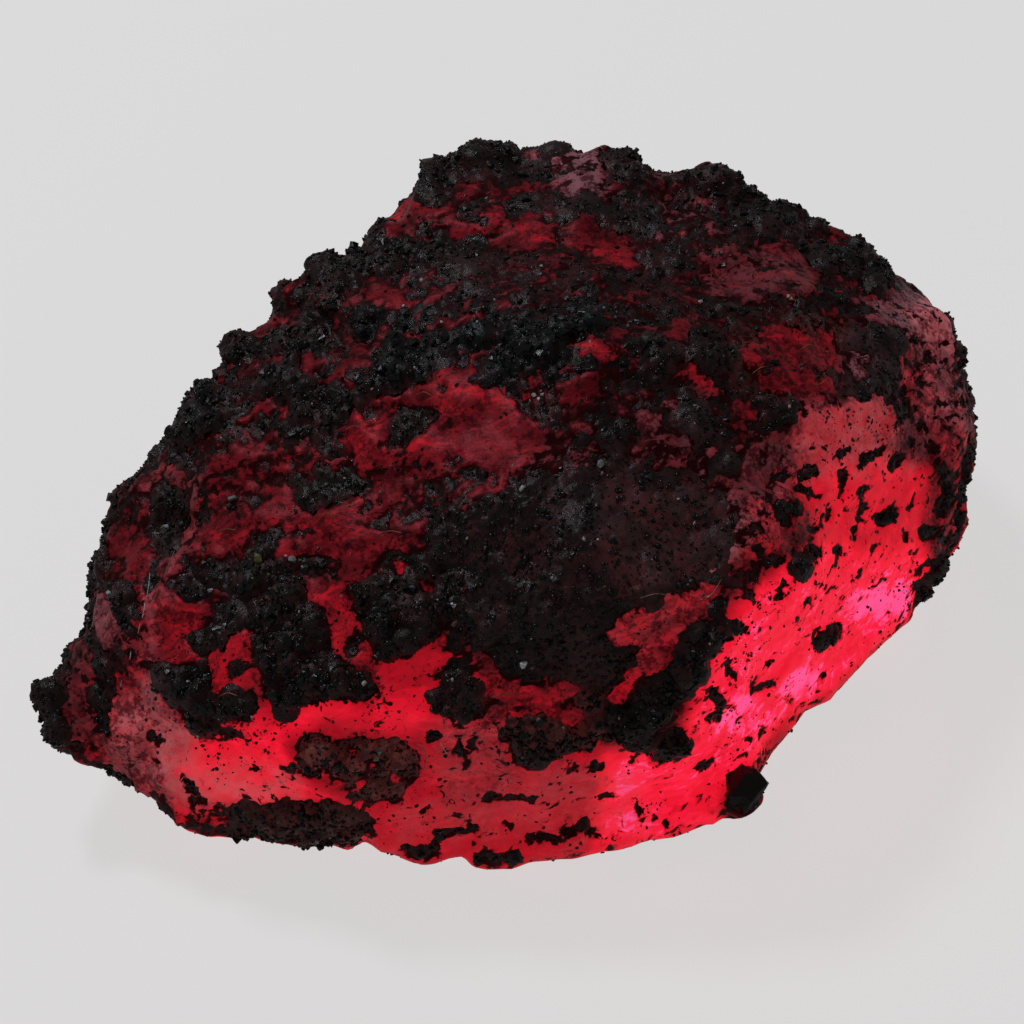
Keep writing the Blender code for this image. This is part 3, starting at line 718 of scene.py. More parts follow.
def rubySurface(points, normals, cover):
    # shallow dents and growth steps, and the rim brought to its true outline
    dents = ripple(points, 1.1, 11) * rubyShape["dents"] + ripple(points, 0.42, 12) * rubyShape["dents"] * 0.5
    ridges = 1.0 - np.abs(ripple(layered(points), 0.55, 13)) * 2.0
    moved = dents + ridges * rubyShape["steps"] - rubyShape["sunk"] * ease(cover, -0.3, 0.3)
    moved += paintedField(points, normals, swellPlan, 9.0, 0.0, 0.0, (-0.55, -0.25))
    return points + normals * moved[:, None]


body = fineCopy("rubyBody", rubyShape["cell"])
points, normals = readPoints(body.data)
cover = coverField(points, normals)
addFloats(body.data, cover=cover, glow=glowField(points, normals), haze=hazeField(points, normals))
movePoints(body.data, rubySurface(points, normals, cover))
print("ruby body", len(body.data.polygons), "faces")

crustShape = {
    "cell": 0.090,
    "slope": 0.20,
    "film": 0.035,
    "thickness": 0.07,
    "knob": 0.24,
    "knobSize": 0.62,
    "bead": 0.15,
    "beadSize": 0.34,
    "grit": 0.03,
    "tuck": 0.07,           # how deep its edges dip into the ruby
    "cutAt": 0.97,          # the share of that depth where they are cut off
    "foot": 0.12,           # no crust below this height
}


def crustHeight(points, cover, lump):
    film = crustShape["film"] + crustShape["thickness"] * ease(cover, 0.0, 1.2) * lump
    height = np.maximum(np.minimum(cover * crustShape["slope"], film), -crustShape["tuck"])
    height += beadsOver(points, crustShape["knobSize"], 21, cover - 0.1) * crustShape["knob"] * lump
    height += beadsOver(points, crustShape["beadSize"], 22, cover) * crustShape["bead"] * (0.15 + 0.85 * lump)
    height += crustShape["grit"] * ripple(points, 0.15, 24) * ease(cover, -0.05, 0.1)
    height[points[:, 2] < crustShape["foot"]] = -crustShape["tuck"]
    return height


crust = fineCopy("blackCrust", crustShape["cell"])
points, normals = readPoints(crust.data)
cover = coverField(points, normals)
lump = mottledField(points, normals, lumpPlan, "lump")
height = crustHeight(points, cover, lump)
movePoints(crust.data, rubySurface(points, normals, cover) + normals * height[:, None])
addFloats(crust.data, cover=cover, lump=lump, height=height)
addFloats(crust.data, haze=hazeField(points, normals), rust=mottledField(points, normals, rustPlan, "rust"))

# what lies buried in the ruby is cut away
shell = bmesh.new()
shell.from_mesh(crust.data)
shell.verts.ensure_lookup_table()
buried = np.nonzero(height < -crustShape["tuck"] * crustShape["cutAt"])[0]
bmesh.ops.delete(shell, geom=[shell.verts[i] for i in buried], context="VERTS")
shell.to_mesh(crust.data)
shell.free()
print("crust", len(crust.data.polygons), "faces")

# Sizes are in millimetres. A higher fewLarge makes large grains rarer.
grainShape = {
    "shapes": 14,
    "corners": 12,
    "stretch": (1.0, 0.88, 0.76),
    "uneven": (0.90, 1.06),
    "seed": 41,
    "crustGrains": {"count": 9800, "small": 0.04, "large": 0.13, "fewLarge": 2.2, "tone": 1.0, "lift": -0.05},
    "crustCrumbs": {"count": 7000, "small": 0.028, "large": 0.06, "fewLarge": 1.0, "tone": 1.0, "lift": 0.1},
    "crustLumps": {"count": 900, "small": 0.10, "large": 0.20, "fewLarge": 1.0, "tone": 0.6, "lift": -0.2},
    "looseSpecks": {"count": 2200, "small": 0.022, "large": 0.085, "fewLarge": 2.2, "tone": 1.0, "lift": 0.0},
}


def closeHull(chip):
    # wraps the corners in a closed hull and drops the ones left inside
    hull = bmesh.ops.convex_hull(chip, input=chip.verts)
    loose = [part for part in hull["geom_interior"] if isinstance(part, bmesh.types.BMVert)]
    bmesh.ops.delete(chip, geom=loose, context="VERTS")


def chippedShapes(rng):
    shapes = []
    for shape in range(grainShape["shapes"]):
        chip = bmesh.new()
        for corner in range(grainShape["corners"]):
            spot = rng.normal(size=3)
            spot = spot / np.linalg.norm(spot) * grainShape["stretch"]
            chip.verts.new(spot * rng.uniform(*grainShape["uneven"]))
        closeHull(chip)
        bmesh.ops.triangulate(chip, faces=chip.faces)
        chip.verts.index_update()
        corners = np.array([vert.co for vert in chip.verts])
        shapes.append((corners, np.array([[vert.index for vert in face.verts] for face in chip.faces])))
        chip.free()
    return shapes


def joinedPiece(name, corners, faces, tones):
    mesh = bpy.data.meshes.new(name)
    mesh.from_pydata(keepInside(corners).tolist(), [], faces)
    addFloats(mesh, tone=tones)
    return addToScene(name, mesh)


def scatterGrains(name, spots, outward, sizes, tones, lift, rng):
    # joins one chipped grain for each spot into a single mesh
    shapes = chippedShapes(rng)
    allCorners, allFaces, allTones = [], [], []
    first = 0
    for spot, away, size, tone in zip(spots, outward, sizes, tones):
        corners, faces = shapes[rng.integers(len(shapes))]
        turn, _ = np.linalg.qr(rng.normal(size=(3, 3)))
        if np.linalg.det(turn) < 0:
            turn[:, 0] = -turn[:, 0]
        allCorners.append(corners @ turn.T * size + spot + away * size * lift)
        allFaces.append(faces + first)
        allTones.append(np.full(len(corners), tone))
        first += len(corners)
    faces = np.concatenate(allFaces).tolist()
    return joinedPiece(name, np.concatenate(allCorners), faces, np.concatenate(allTones))


def growGrains(name, points, outward, weight, rng):
    # more grains where the weight is higher
    look = grainShape[name]
    chosen = rng.choice(len(weight), look["count"], replace=False, p=weight / weight.sum())
    sizes = rng.random(len(chosen)) ** look["fewLarge"]
    sizes = look["small"] + (look["large"] - look["small"]) * sizes
    tones = rng.random(len(chosen)) * look["tone"]
    return scatterGrains(name, points[chosen], outward[chosen], sizes, tones, look["lift"], rng)


rng = np.random.default_rng(grainShape["seed"])
top, outward = readPoints(crust.data)
share = readFloats(crust.data, "cover")
heaped = readFloats(crust.data, "lump")
raised = top[:, 2] > 0.3
weight = ease(share, 0.02, 0.5) * (0.25 + 0.75 * heaped) * raised
grains = growGrains("crustGrains", top, outward, weight, rng)
weight = ease(share, 0.0, 0.3) * (0.35 + 0.65 * heaped) * raised
crumbs = growGrains("crustCrumbs", top, outward, weight, rng)
weight = ease(share, 0.3, 0.9) * heaped ** 2 * (top[:, 2] > 0.5)
lumps = growGrains("crustLumps", top, outward, weight, rng)
bare, outward = readPoints(body.data)
share = readFloats(body.data, "cover")
clusters = np.maximum(0.06, ripple(bare, 0.7, 41) + ripple(bare, 2.0, 42))
weight = ease(-share, 0.0, 0.3) * (bare[:, 2] > 0.2) * clusters
specks = growGrains("looseSpecks", bare, outward, weight, rng)
print("grains", [len(piece.data.polygons) for piece in (grains, crumbs, lumps, specks)], "triangles")

# The angular chip on the front rim. Each ring is (depth in millimetres, width, every how many corners).
chipShape = {
    "outline": (721, 800, 727, 813, 743, 817, 760, 801, 769, 783, 756, 768, 744, 764, 726, 776),
    "middle": (745, 791),
    "rings": [(0.06, 0.60, 3), (-0.16, 0.96, 1), (-0.70, 1.02, 2), (-1.10, 0.75, 2)],
    "rough": 0.035,
    "cuts": 5,
    "joined": 0.05,         # corners nearer than this become one
    "tone": 0.3,
}


def sightLine(u, v):
    # from the lens through a place in the camera picture
    right, up, back = cameraAxes()
    middle = viewing["picture"] / 2
    reach = viewing["lens"] / viewing["sensor"] * viewing["picture"]
    ray = right * ((u - middle) / reach) + up * ((middle - v) / reach) - back
    return Vector(viewing["target"]) + back * viewing["distance"], ray


def rimChip(name):
    # a chip with cut corners, closed round the knob that stands inside its outline
    outline = np.array(chipShape["outline"], float).reshape(-1, 2)
    middle = np.array(chipShape["middle"])
    spots, outward = readPoints(body.data)
    within = (depthInside(*seenAt(spots), outline) > 0) & (facingShare(outward) > 0.5)
    back = np.array(cameraAxes()[2])
    front = (spots[within] @ back).max()
    chip = bmesh.new()
    for depth, width, step in chipShape["rings"]:
        for corner in outline[::step]:
            lens, ray = sightLine(*(middle + (corner - middle) * width))
            spot = lens + ray * (lens @ Vector(back) - front - depth)
            chip.verts.new((spot.x, spot.y, max(spot.z, 0.0)))
    closeHull(chip)
    bmesh.ops.remove_doubles(chip, verts=chip.verts, dist=chipShape["joined"])
    bmesh.ops.subdivide_edges(chip, edges=chip.edges[:], cuts=chipShape["cuts"], use_grid_fill=True)
    bmesh.ops.triangulate(chip, faces=chip.faces)
    chip.normal_update()
    for vert in chip.verts:
        bumps = noise.noise(vert.co * 3.0) + 0.5 * noise.noise(vert.co * 9.0)
        vert.co += vert.normal * chipShape["rough"] * bumps
        vert.co.z = max(vert.co.z, 0.0)
    mesh = bpy.data.meshes.new(name)
    chip.to_mesh(mesh)
    chip.free()
    addFloats(mesh, tone=np.full(len(mesh.vertices), chipShape["tone"]))
    return addToScene(name, mesh)


chip = rimChip("rimChip")

# Colours of the single grains and hairs.
kinds = {
    "olive": (0.20, 0.19, 0.055),
    "ash": (0.24, 0.25, 0.25),
    "white": (0.72, 0.72, 0.70),
    "tan": (0.26, 0.16, 0.11),
    "amber": (0.46, 0.15, 0.06),
}
# the tone that gives each kind its colour
kindTones = {kind: (turn + 0.5) / len(kinds) for turn, kind in enumerate(kinds)}

# Each entry is (u, v, size in millimetres, kind).
# the white grains are painted glints, pale specks set where sparkles of light show
oddGrains = [
    (258, 558, 0.17, "olive"), (250, 552, 0.08, "olive"), (233, 499, 0.15, "ash"), (292, 562, 0.14, "ash"),
    (211, 590, 0.09, "white"), (454, 622, 0.13, "tan"), (448, 632, 0.09, "tan"), (524, 664, 0.13, "white"),
    (532, 668, 0.07, "ash"), (380, 750, 0.14, "ash"), (376, 758, 0.10, "white"), (386, 744, 0.07, "ash"),
    (601, 464, 0.13, "ash"), (602, 474, 0.07, "ash"), (534, 395, 0.07, "white"), (539, 399, 0.06, "white"),
    (531, 401, 0.05, "white"), (541, 390, 0.045, "white"), (495, 300, 0.06, "white"),
    (372, 388, 0.06, "white"), (375, 420, 0.055, "white"), (513, 465, 0.05, "white"),
    (793, 300, 0.11, "amber"), (788, 296, 0.06, "white"), (404, 306, 0.05, "white"),
    (286, 556, 0.05, "white"), (300, 612, 0.05, "white"), (342, 596, 0.05, "ash"),
    (452, 604, 0.05, "white"), (438, 600, 0.04, "white"), (320, 640, 0.05, "ash"),
    (598, 540, 0.045, "white"), (652, 560, 0.04, "ash"), (694, 523, 0.05, "white"),
    (620, 718, 0.05, "white"), (656, 700, 0.04, "ash"), (563, 728, 0.045, "ash"), (566, 300, 0.05, "ash"),
    (616, 318, 0.06, "ash"), (604, 308, 0.05, "white"), (628, 326, 0.05, "ash"), (590, 342, 0.04, "white"),
    (548, 352, 0.05, "ash"), (524, 332, 0.05, "ash"), (500, 345, 0.04, "white"), (230, 820, 0.05, "tan"),
    (268, 574, 0.06, "olive"), (300, 560, 0.06, "olive"), (360, 640, 0.05, "ash"), (420, 600, 0.045, "ash"),
    (836, 340, 0.05, "amber"), (826, 352, 0.045, "amber"), (442, 322, 0.05, "white"),
    (380, 492, 0.05, "ash"), (345, 478, 0.045, "white"),
]

# Each hair is (thickness in millimetres, kind, u and v of each place it runs through).
hairs = [
    (0.012, "amber", 344, 502, 352, 506, 362, 500), (0.014, "amber", 380, 534, 390, 531, 402, 533),
    (0.014, "amber", 258, 602, 266, 598, 274, 602), (0.014, "amber", 218, 697, 228, 693, 238, 696),
    (0.011, "amber", 752, 374, 760, 368, 770, 366), (0.011, "amber", 800, 350, 808, 345, 818, 347),
    (0.011, "amber", 812, 384, 820, 384, 828, 378), (0.010, "tan", 440, 370, 447, 374, 456, 371),
    (0.010, "amber", 416, 395, 424, 392, 432, 396), (0.010, "tan", 488, 396, 498, 396, 506, 402),
    (0.010, "amber", 346, 430, 353, 426, 361, 427), (0.010, "tan", 240, 442, 247, 438, 254, 440),
    (0.011, "amber", 216, 532, 226, 529, 236, 530), (0.010, "amber", 318, 515, 327, 513, 336, 515),
    (0.013, "tan", 700, 600, 712, 594, 722, 578), (0.013, "white", 150, 573, 149, 584, 147, 596),
    (0.012, "white", 145, 603, 144, 611, 142, 619), (0.012, "white", 140, 624, 138, 634),
    (0.012, "white", 131, 650, 130, 660), (0.013, "white", 122, 680, 120, 690),
    (0.012, "ash", 196, 498, 190, 514, 184, 528), (0.012, "ash", 176, 548, 170, 562, 164, 578),
    (0.013, "ash", 420, 742, 426, 756, 424, 770), (0.012, "white", 440, 742, 448, 756),
    (0.013, "tan", 488, 700, 502, 694, 518, 694), (0.013, "amber", 608, 690, 616, 680, 626, 674),
    (0.012, "tan", 640, 598, 656, 594, 672, 596),
]


def surfaceTree(piece):
    corners = [vert.co for vert in piece.data.vertices]
    return BVHTree.FromPolygons(corners, [face.vertices[:] for face in piece.data.polygons])


surfaces = [surfaceTree(body), surfaceTree(crust)]


def landing(u, v):
    # the spot of the stone that shows at a place in the camera picture, and the way out of it
    lens, ray = sightLine(u, v)
    hits = [tree.ray_cast(lens, ray) for tree in surfaces]
    spot, away = min((hit for hit in hits if hit[0] is not None), key=lambda hit: hit[3])[:2]
    return np.array(spot), np.array(away if away.dot(ray) < 0 else -away)


def placeOddGrains(name, lift=0.25, seed=5):
    spots, outward = zip(*[landing(u, v) for u, v, size, kind in oddGrains])
    sizes = [size for u, v, size, kind in oddGrains]
    tones = [kindTones[kind] for u, v, size, kind in oddGrains]
    return scatterGrains(name, spots, outward, sizes, tones, lift, np.random.default_rng(seed))


def softPath(places):
    # an even curve through the places, in five steps from each to the next
    places = np.vstack((2 * places[0] - places[1], places, 2 * places[-1] - places[-2]))
    path = []
    for before, first, last, after in zip(places, places[1:], places[2:], places[3:]):
        for share in (0.0, 0.2, 0.4, 0.6, 0.8):
            bend = (2 * before - 5 * first + 4 * last - after) * share ** 2
            bend = bend + (3 * first - before - 3 * last + after) * share ** 3
            path.append(0.5 * (2 * first + (last - before) * share + bend))
    return path + [places[-2]]


def layHairs(name, tip=0.35):
    # thin threads that lie on the stone from place to place, four corners round at each step
    corners, faces, tones = [], [], []
    for thick, kind, *places in hairs:
        landed = [landing(*place) for place in softPath(np.array(places, float).reshape(-1, 2))]
        spots = [spot + away * thick * 0.5 for spot, away in landed]
        start, end = len(corners), len(spots) - 1
        for turn, (spot, (_, away)) in enumerate(zip(spots, landed)):
            ahead = spots[min(turn + 1, end)] - spots[max(turn - 1, 0)]
            aside = np.cross(ahead, away)
            aside = aside / max(np.linalg.norm(aside), 1e-9)
            width = thick * (tip if turn in (0, end) else 1.0)
            first = len(corners)
            corners += [spot + aside * width, spot + away * width, spot - aside * width, spot - away * width]
            for side in range(4 if turn else 0):
                following = (side + 1) % 4
                faces.append((first + side - 4, first + following - 4, first + following, first + side))
        faces += [(start + 3, start + 2, start + 1, start), (first, first + 1, first + 2, first + 3)]
        tones += [kindTones[kind]] * 4 * len(spots)
    return joinedPiece(name, np.array(corners), faces, np.array(tones))


odd = placeOddGrains("oddGrains")
threads = layHairs("mineralHairs")
print("placed", len(oddGrains), "odd grains and", len(hairs), "hairs")


# The node helpers below that take sockets work in the tree of those sockets.


def blend(share, first, second, kind="RGBA"):
    # part of the way from the first to the second, which are colours, or values where the kind is FLOAT
    node = newNode(share.id_data, "ShaderNodeMix", data_type=kind)
    start, end, mixed = {"RGBA": (6, 7, 2), "FLOAT": (2, 3, 0)}[kind]
    for place, value in ((0, share), (start, first), (end, second)):
        feed(node.inputs[place], value)
    return node.outputs[mixed]


def spread(value, low, high, start=0.0, end=1.0):
    # stretches part of a value's range and softens its ends
    node = newNode(value.id_data, "ShaderNodeMapRange", interpolation_type="SMOOTHSTEP", Value=value)
    for label, number in (("From Min", low), ("From Max", high), ("To Min", start), ("To Max", end)):
        feed(node.inputs[label], number)
    return node.outputs["Result"]


def reckon(how, first, second):
    # either may be a plain number
    tree = (second if isinstance(first, float) else first).id_data
    node = newNode(tree, "ShaderNodeMath", operation=how)
    feed(node.inputs[0], first)
    feed(node.inputs[1], second)
    return node.outputs[0]


def times(first, *others):
    for other in others:
        first = reckon("MULTIPLY", first, other)
    return first


def colorRamp(value, stops, interpolation="LINEAR"):
    node = newNode(value.id_data, "ShaderNodeValToRGB", Fac=value)
    node.color_ramp.interpolation = interpolation
    elements = node.color_ramp.elements
    while len(elements) < len(stops):
        elements.new(0.5)
    for element, (spot, color) in zip(elements, stops):
        element.position = spot
        element.color = (*color, 1.0)
    return node.outputs[0]


def painted(tree, *names):
    # the fields stored on the mesh
    return [newNode(tree, "ShaderNodeAttribute", attribute_name=name).outputs["Fac"] for name in names]


def relief(height, strength, distance):
    tree = height.id_data
    return newNode(tree, "ShaderNodeBump", Strength=strength, Distance=distance, Height=height).outputs[0]


def noiseNode(where, scale, **values):
    return newNode(where.id_data, "ShaderNodeTexNoise", Vector=where, Scale=scale, **values).outputs[0]


def effectGroup(name, inputs, outputs):
    group = bpy.data.node_groups.new(name, "ShaderNodeTree")
    for label, value in inputs.items():
        socket = group.interface.new_socket(label, in_out="INPUT", socket_type="NodeSocketFloat")
        socket.default_value = value
    for label in outputs:
        group.interface.new_socket(label, in_out="OUTPUT", socket_type="NodeSocketFloat")
    return group, group.nodes.new("NodeGroupInput").outputs, group.nodes.new("NodeGroupOutput").inputs


def placeGroup(tree, group, **values):
    return newNode(tree, "ShaderNodeGroup", node_tree=group, **values).outputs


def makeGrit():
    # crushed, sugary relief at two sizes, given in grains a metre
    group, given, out = effectGroup("grit", {"Coarse": 6000.0, "Fine": 16000.0}, ("Height", "Tone"))
    where = newNode(group, "ShaderNodeTexCoord").outputs["Object"]
    coarse = newNode(group, "ShaderNodeTexVoronoi", feature="F1", Vector=where, Scale=given["Coarse"])
    fine = noiseNode(where, given["Fine"], Detail=3.0, Roughness=0.65)
    broad = noiseNode(where, given["Coarse"], Detail=4.0, Roughness=0.6)
    bumps = times(reckon("SUBTRACT", 1.0, coarse.outputs["Distance"]), 0.6)
    feed(out["Height"], reckon("ADD", bumps, times(fine, 0.5)))
    feed(out["Tone"], spread(times(broad, fine), 0.12, 0.42))
    return group


def makeFlecks():
    # scattered ragged dots, denser in some places than in others; Scale is in dots a metre
    inputs = {"Scale": 4000.0, "Level": 0.66, "Clumps": 900.0}
    group, given, out = effectGroup("flecks", inputs, ("Mask", "Halo"))
    where = newNode(group, "ShaderNodeTexCoord").outputs["Object"]
    dots = noiseNode(where, given["Scale"], Detail=2.5, Roughness=0.6, Distortion=0.9)
    denser = spread(noiseNode(where, given["Clumps"], Detail=1.0), 0.3, 0.7, -0.09, 0.07)
    over = reckon("SUBTRACT", reckon("ADD", dots, denser), given["Level"])
    feed(out["Mask"], spread(over, 0.0, 0.02))
    feed(out["Halo"], spread(over, -0.11, 0.0))
    return group


def makeLayers():
    # wavy bands that run along the growth layers, stretched sideways; Scale is in bands a metre
    group, given, out = effectGroup("layers", {"Scale": 1000.0}, ("Band",))
    where = newNode(group, "ShaderNodeTexCoord").outputs["Object"]
    right = cameraAxes()[0]
    turned = newNode(group, "ShaderNodeMapping", vector_type="TEXTURE", Vector=where, Scale=(2.4, 1.0, 1.2))
    feed(turned.inputs["Rotation"], (0.0, math.radians(-16), math.atan2(right[1], right[0])))
    bands = noiseNode(turned.outputs[0], given["Scale"], Detail=3.0, Roughness=0.6, Distortion=0.7)
    feed(out["Band"], bands)
    return group


grit = makeGrit()
flecks = makeFlecks()
layers = makeLayers()

# Colours come first, then ranges: the part of a mask that counts, and what its ends become if not 0 and 1.
rubyLook = {
    "deep": (0.15, 0.006, 0.012),
    # the pale colour of the dust and haze, partly a painted sheen
    "haze": (0.68, 0.40, 0.46),
    "hazePaintedGlow": (0.20, 0.065, 0.065),
    "stain": (0.020, 0.008, 0.008),
    "stainPaintedGlow": (0.002, 0.0, 0.0),
    "veil": (0.040, 0.009, 0.013),
    "shine": (0.9, 0.10, 0.13),
    "rust": (0.36, 0.095, 0.045),
    "rustPaintedGlow": (0.20, 0.034, 0.012),
    "absorb": (0.824, 0.0, 0.235),
    "absorbDensity": 1700.0,
    # how the painted glow of the light coming through looks, from none to glaring
    "glow": (
        (0.0, (0.0, 0.0, 0.0)),
        (0.1, (0.085, 0.003, 0.005)),
        (0.35, (0.38, 0.003, 0.011)),
        (0.66, (0.80, 0.006, 0.024)),
        (0.84, (0.95, 0.012, 0.050)),
        (1.0, (0.97, 0.075, 0.26)),
    ),
    "closing": (-1.15, 0.2, -0.33, 0.22),
    "stained": (0.5, 0.6),
    "dustAndSheen": (0.0, 1.0, 0.70, 1.15),
    "nearCrust": (-0.34, -0.22),
    "offCrust": (0.0, -0.12),
    "hairline": (0.52, 0.60),
    "dull": (0.40, 0.13, 0.12, 1.0),
    "mottle": (0.30, 0.72, 0.0, 0.80),
    "clear": (0.08, 0.35),
    "dullStreaks": (0.32, 0.60, 1.55, 0.50),
    "clearStreaks": (0.30, 0.55, 1.08, 0.88),
    "dullSwirls": (0.30, 0.68, 0.60, 1.45),
    "clearSwirls": (0.25, 0.75, 0.82, 1.12),
    "crustShade": (-0.6, 0.05, 1.0, 0.35),
    "dotShade": (0.0, 1.0, 1.0, 0.66),
    "veilShade": (0.0, 0.8, 1.12, 0.42),
    "hazeGlows": (0.03, 0.35),
}


def rubyMaterial():
    look = rubyLook
    material, tree = newMaterial("ruby")
    cover, glow, haze = painted(tree, "cover", "glow", "haze")
    crumbs = placeGroup(tree, grit, Coarse=3500.0, Fine=12000.0)
    veil = placeGroup(tree, grit, Coarse=2400.0, Fine=8000.0)
    broad = placeGroup(tree, layers, Scale=1100.0)["Band"]
    thin = placeGroup(tree, layers, Scale=4200.0)["Band"]
    dots = placeGroup(tree, flecks, Scale=4300.0, Level=0.70, Clumps=800.0)
    dust = placeGroup(tree, flecks, Scale=12000.0, Level=0.71, Clumps=500.0)
    # a broken black film that closes up towards the crust, and black dots in the bare faces
    stain = spread(reckon("ADD", thin, spread(cover, *look["closing"])), *look["stained"])
    dark = reckon("MAXIMUM", reckon("MAXIMUM", dots["Mask"], dust["Mask"]), stain)
    # pale dust and haze, partly a painted sheen
    hazeAndSheen = times(haze, spread(crumbs["Tone"], *look["dustAndSheen"]))
    # rusty hairlines where the crust ends
    edge = times(spread(cover, *look["nearCrust"]), spread(cover, *look["offCrust"]))
    rust = times(edge, spread(thin, *look["hairline"]))
    # a mottled veil over the dull faces
    veiled = times(spread(glow, *look["dull"]), spread(veil["Tone"], *look["mottle"]))
    skin = blend(hazeAndSheen, look["deep"], look["haze"])
    skin = blend(veiled, blend(rust, skin, look["rust"]), look["veil"])
    # painted glow, laid on as emission, for the light coming up through the stone
    clear = spread(glow, *look["clear"])
    streaks = blend(clear, spread(thin, *look["dullStreaks"]), spread(thin, *look["clearStreaks"]), "FLOAT")
    swirls = blend(clear, spread(broad, *look["dullSwirls"]), spread(broad, *look["clearSwirls"]), "FLOAT")
    level = times(glow, streaks, swirls, spread(cover, *look["crustShade"]))
    level = times(level, spread(dots["Halo"], *look["dotShade"]), spread(veiled, *look["veilShade"]))
    # the rusty hairlines get a painted glow of their own
    paintedGlow = blend(times(rust, 0.8), colorRamp(level, look["glow"]), look["rustPaintedGlow"])
    # the haze gets a painted glow of its own
    paintedGlow = blend(times(spread(level, *look["hazeGlows"]), times(hazeAndSheen, 0.5)), paintedGlow, look["hazePaintedGlow"])
    gem = newNode(
        tree, "ShaderNodeBsdfPrincipled",
        Base_Color=blend(dark, skin, look["stain"]),
        Roughness=0.42,
        IOR=1.76,
        Transmission_Weight=0.6,
        Specular_IOR_Level=0.12,
        Specular_Tint=look["shine"],
        # the emission is painted glow, nearly unlit where the stain is dark
        Emission_Color=blend(dark, paintedGlow, look["stainPaintedGlow"]),
        Emission_Strength=1.0,
        Normal=relief(reckon("ADD", crumbs["Height"], thin), strength=0.35, distance=0.00004),
    )
    depth = newNode(tree, "ShaderNodeVolumeAbsorption", Color=look["absorb"], Density=look["absorbDensity"])
    newNode(tree, "ShaderNodeOutputMaterial", Surface=gem.outputs[0], Volume=depth.outputs[0])
    material.cycles.emission_sampling = "NONE"
    return material


crustLook = {
    "black": (0.0100, 0.0108, 0.0092),
    "brown": (0.020, 0.014, 0.011),
    "bluishSheen": (0.013, 0.017, 0.023),
    "gray": (0.021, 0.022, 0.024),
    "creviceShade": (0.0042, 0.0044, 0.0038),
    "gap": (0.062, 0.009, 0.013),
    "red": (0.030, 0.011, 0.012),
    "pale": (0.30, 0.29, 0.27),
    "dust": (0.095, 0.062, 0.066),
    "rust": (0.125, 0.044, 0.038),
    "rustPaintedGlow": (0.055, 0.008, 0.007),
    "unlit": (0.0, 0.0, 0.0),
    "coolPatch": (0.50, 0.66, 0.0, 0.8),
    "grayGrit": (0.5, 1.0, 0.0, 0.40),
    "thinRed": (0.50, 0.05, 0.0, 0.6),
    "dustAndSheen": (0.12, 0.9, 0.0, 0.72),
    "rusty": (0.2, 0.8, 0.35, 1.0),
    "redGap": (0.38, 0.68),
    # how the painted shade in the low places gives way to the crust's colour on the raised tops
    "raised": (0.0, 0.22, 0.28, 1.0),
    "roughness": (0.0, 1.0, 0.42, 0.16),
}


def crustMaterial():
    look = crustLook
    material, tree = newMaterial("blackCrust")
    cover, haze, rust, height = painted(tree, "cover", "haze", "rust", "height")
    crumbs = placeGroup(tree, grit, Coarse=3900.0, Fine=12000.0)
    patches = placeGroup(tree, grit, Coarse=900.0, Fine=5200.0)["Tone"]
    # the pale flecks are painted glints, sparkles of light set into the crust's colour
    pale = placeGroup(tree, flecks, Scale=9000.0, Level=0.76, Clumps=1500.0)["Mask"]
    sheenPatches = newNode(tree, "ShaderNodeTexNoise", Scale=420.0, Detail=2.0).outputs[0]
    rusty = times(rust, spread(patches, *look["rusty"]))
    color = blend(patches, look["black"], look["brown"])
    # bluish patches, a painted reflection of the pale sky, laid at random over the crust
    color = blend(spread(sheenPatches, *look["coolPatch"]), color, look["bluishSheen"])
    color = blend(spread(crumbs["Tone"], *look["grayGrit"]), color, look["gray"])
    color = blend(spread(cover, *look["thinRed"]), color, look["red"])
    # grey-maroon dust where the haze lies, partly a painted sheen that lightens the crust
    color = blend(spread(haze, *look["dustAndSheen"]), color, look["dust"])
    color = blend(rusty, color, look["rust"])
    # Painted shade: black in some places and the dull red of the ruby in others, down between the lumps, so
    # that the low places are darker than the raised tops.
    shadedGaps = blend(spread(patches, *look["redGap"]), look["creviceShade"], look["gap"])
    color = blend(spread(height, *look["raised"]), shadedGaps, color)
    stone = newNode(
        tree, "ShaderNodeBsdfPrincipled",
        Base_Color=blend(pale, color, look["pale"]),
        Roughness=spread(crumbs["Tone"], *look["roughness"]),
        Specular_IOR_Level=0.24,
        # painted glow: the rusty crust glows a little, as if lit from behind
        Emission_Color=blend(rusty, look["unlit"], look["rustPaintedGlow"]),
        Emission_Strength=1.0,
        Normal=relief(crumbs["Height"], strength=0.9, distance=0.00006),
    )
    newNode(tree, "ShaderNodeOutputMaterial", Surface=stone.outputs[0])
    material.cycles.emission_sampling = "NONE"
    return material


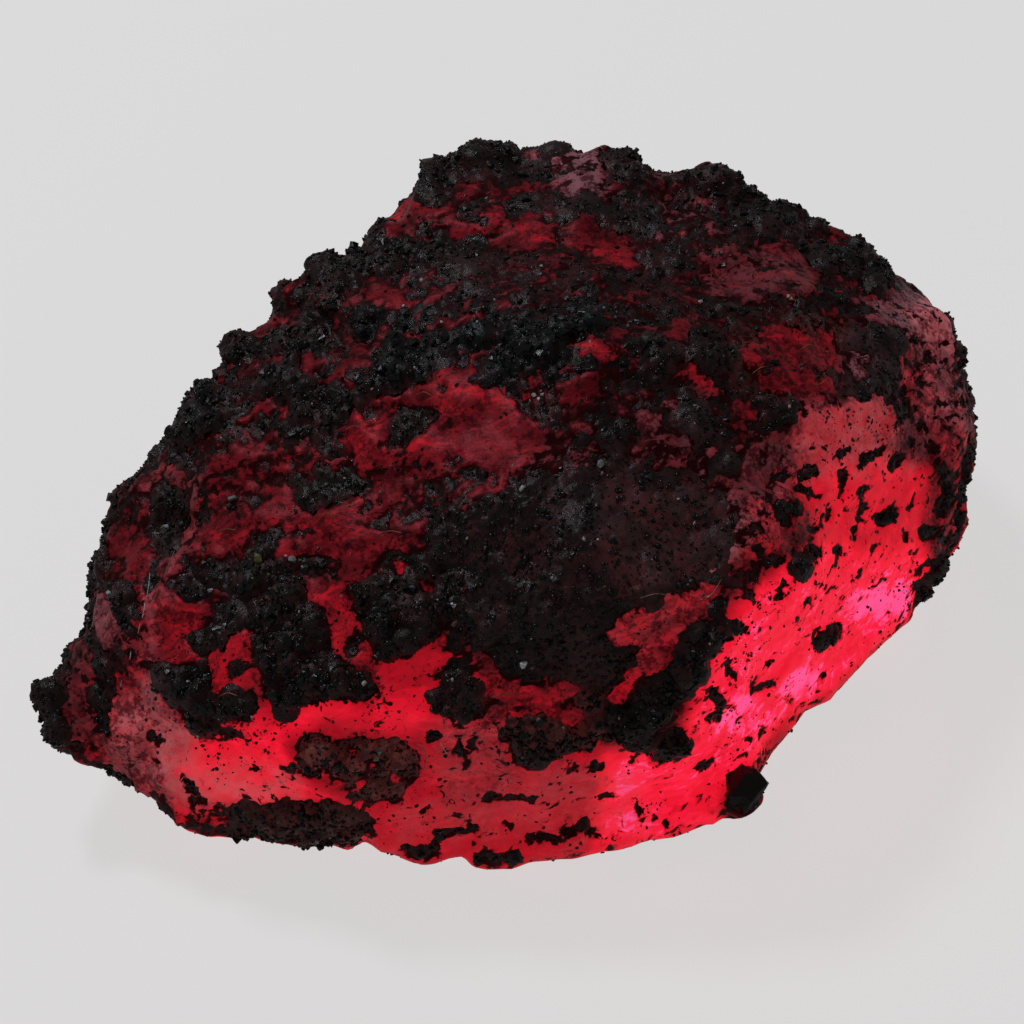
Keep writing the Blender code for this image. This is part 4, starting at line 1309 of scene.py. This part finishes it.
# The colour of each grain hangs on its tone, from 0 to 1, and each stop is the lowest tone of its colour.
grainLook = {
    "stops": (
        (0.0, crustLook["black"]),
        (0.5, (0.012, 0.009, 0.008)),
        (0.74, crustLook["brown"]),
        (0.87, crustLook["gray"]),
        (0.93, (0.06, 0.010, 0.014)),
        # the two palest stops are painted glints, grains whitened to stand in for sparkles of light
        (0.976, (0.11, 0.11, 0.105)),
        (0.992, (0.5, 0.49, 0.47)),
    ),
    "fine": 26000.0,
    "shine": 0.30,
    "gray": (0.3, 1.0, 0.0, 0.35),
    "roughness": (0.0, 1.0, 0.36, 0.12),
    "relief": 0.5,
}

oddLook = {
    "stops": tuple((turn / len(kinds), color) for turn, color in enumerate(kinds.values())),
    "fine": 30000.0,
    "shine": 0.5,
    "gray": (0.2, 0.9, 0.0, 0.6),
    "roughness": (0.0, 1.0, 0.5, 0.3),
    "relief": 0.0,
}


def grainMaterial(name, look):
    material, tree = newMaterial(name)
    tone = painted(tree, "tone")[0]
    crumbs = placeGroup(tree, grit, Coarse=9000.0, Fine=look["fine"])
    color = colorRamp(tone, look["stops"], "CONSTANT")
    stone = newNode(
        tree, "ShaderNodeBsdfPrincipled",
        Base_Color=blend(spread(crumbs["Tone"], *look["gray"]), color, crustLook["gray"]),
        Roughness=spread(crumbs["Tone"], *look["roughness"]),
        Specular_IOR_Level=look["shine"],
    )
    if look["relief"]:
        feed(stone.inputs["Normal"], relief(crumbs["Height"], look["relief"], distance=0.00002))
    newNode(tree, "ShaderNodeOutputMaterial", Surface=stone.outputs[0])
    return material


mineral = grainMaterial("mineralGrain", grainLook)
pale = grainMaterial("paleMineral", oddLook)
finishes = {body: rubyMaterial(), crust: crustMaterial(), odd: pale, threads: pale}
for piece in (body, crust, grains, crumbs, lumps, specks, chip, odd, threads):
    piece.data.materials.append(finishes.get(piece, mineral))
    smooth = piece in (body, crust, grains, crumbs)
    piece.data.polygons.foreach_set("use_smooth", [smooth] * len(piece.data.polygons))
    piece.data.transform(Matrix.Scale(mm, 4))
    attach(piece, "root")
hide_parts("ruby_crystal")
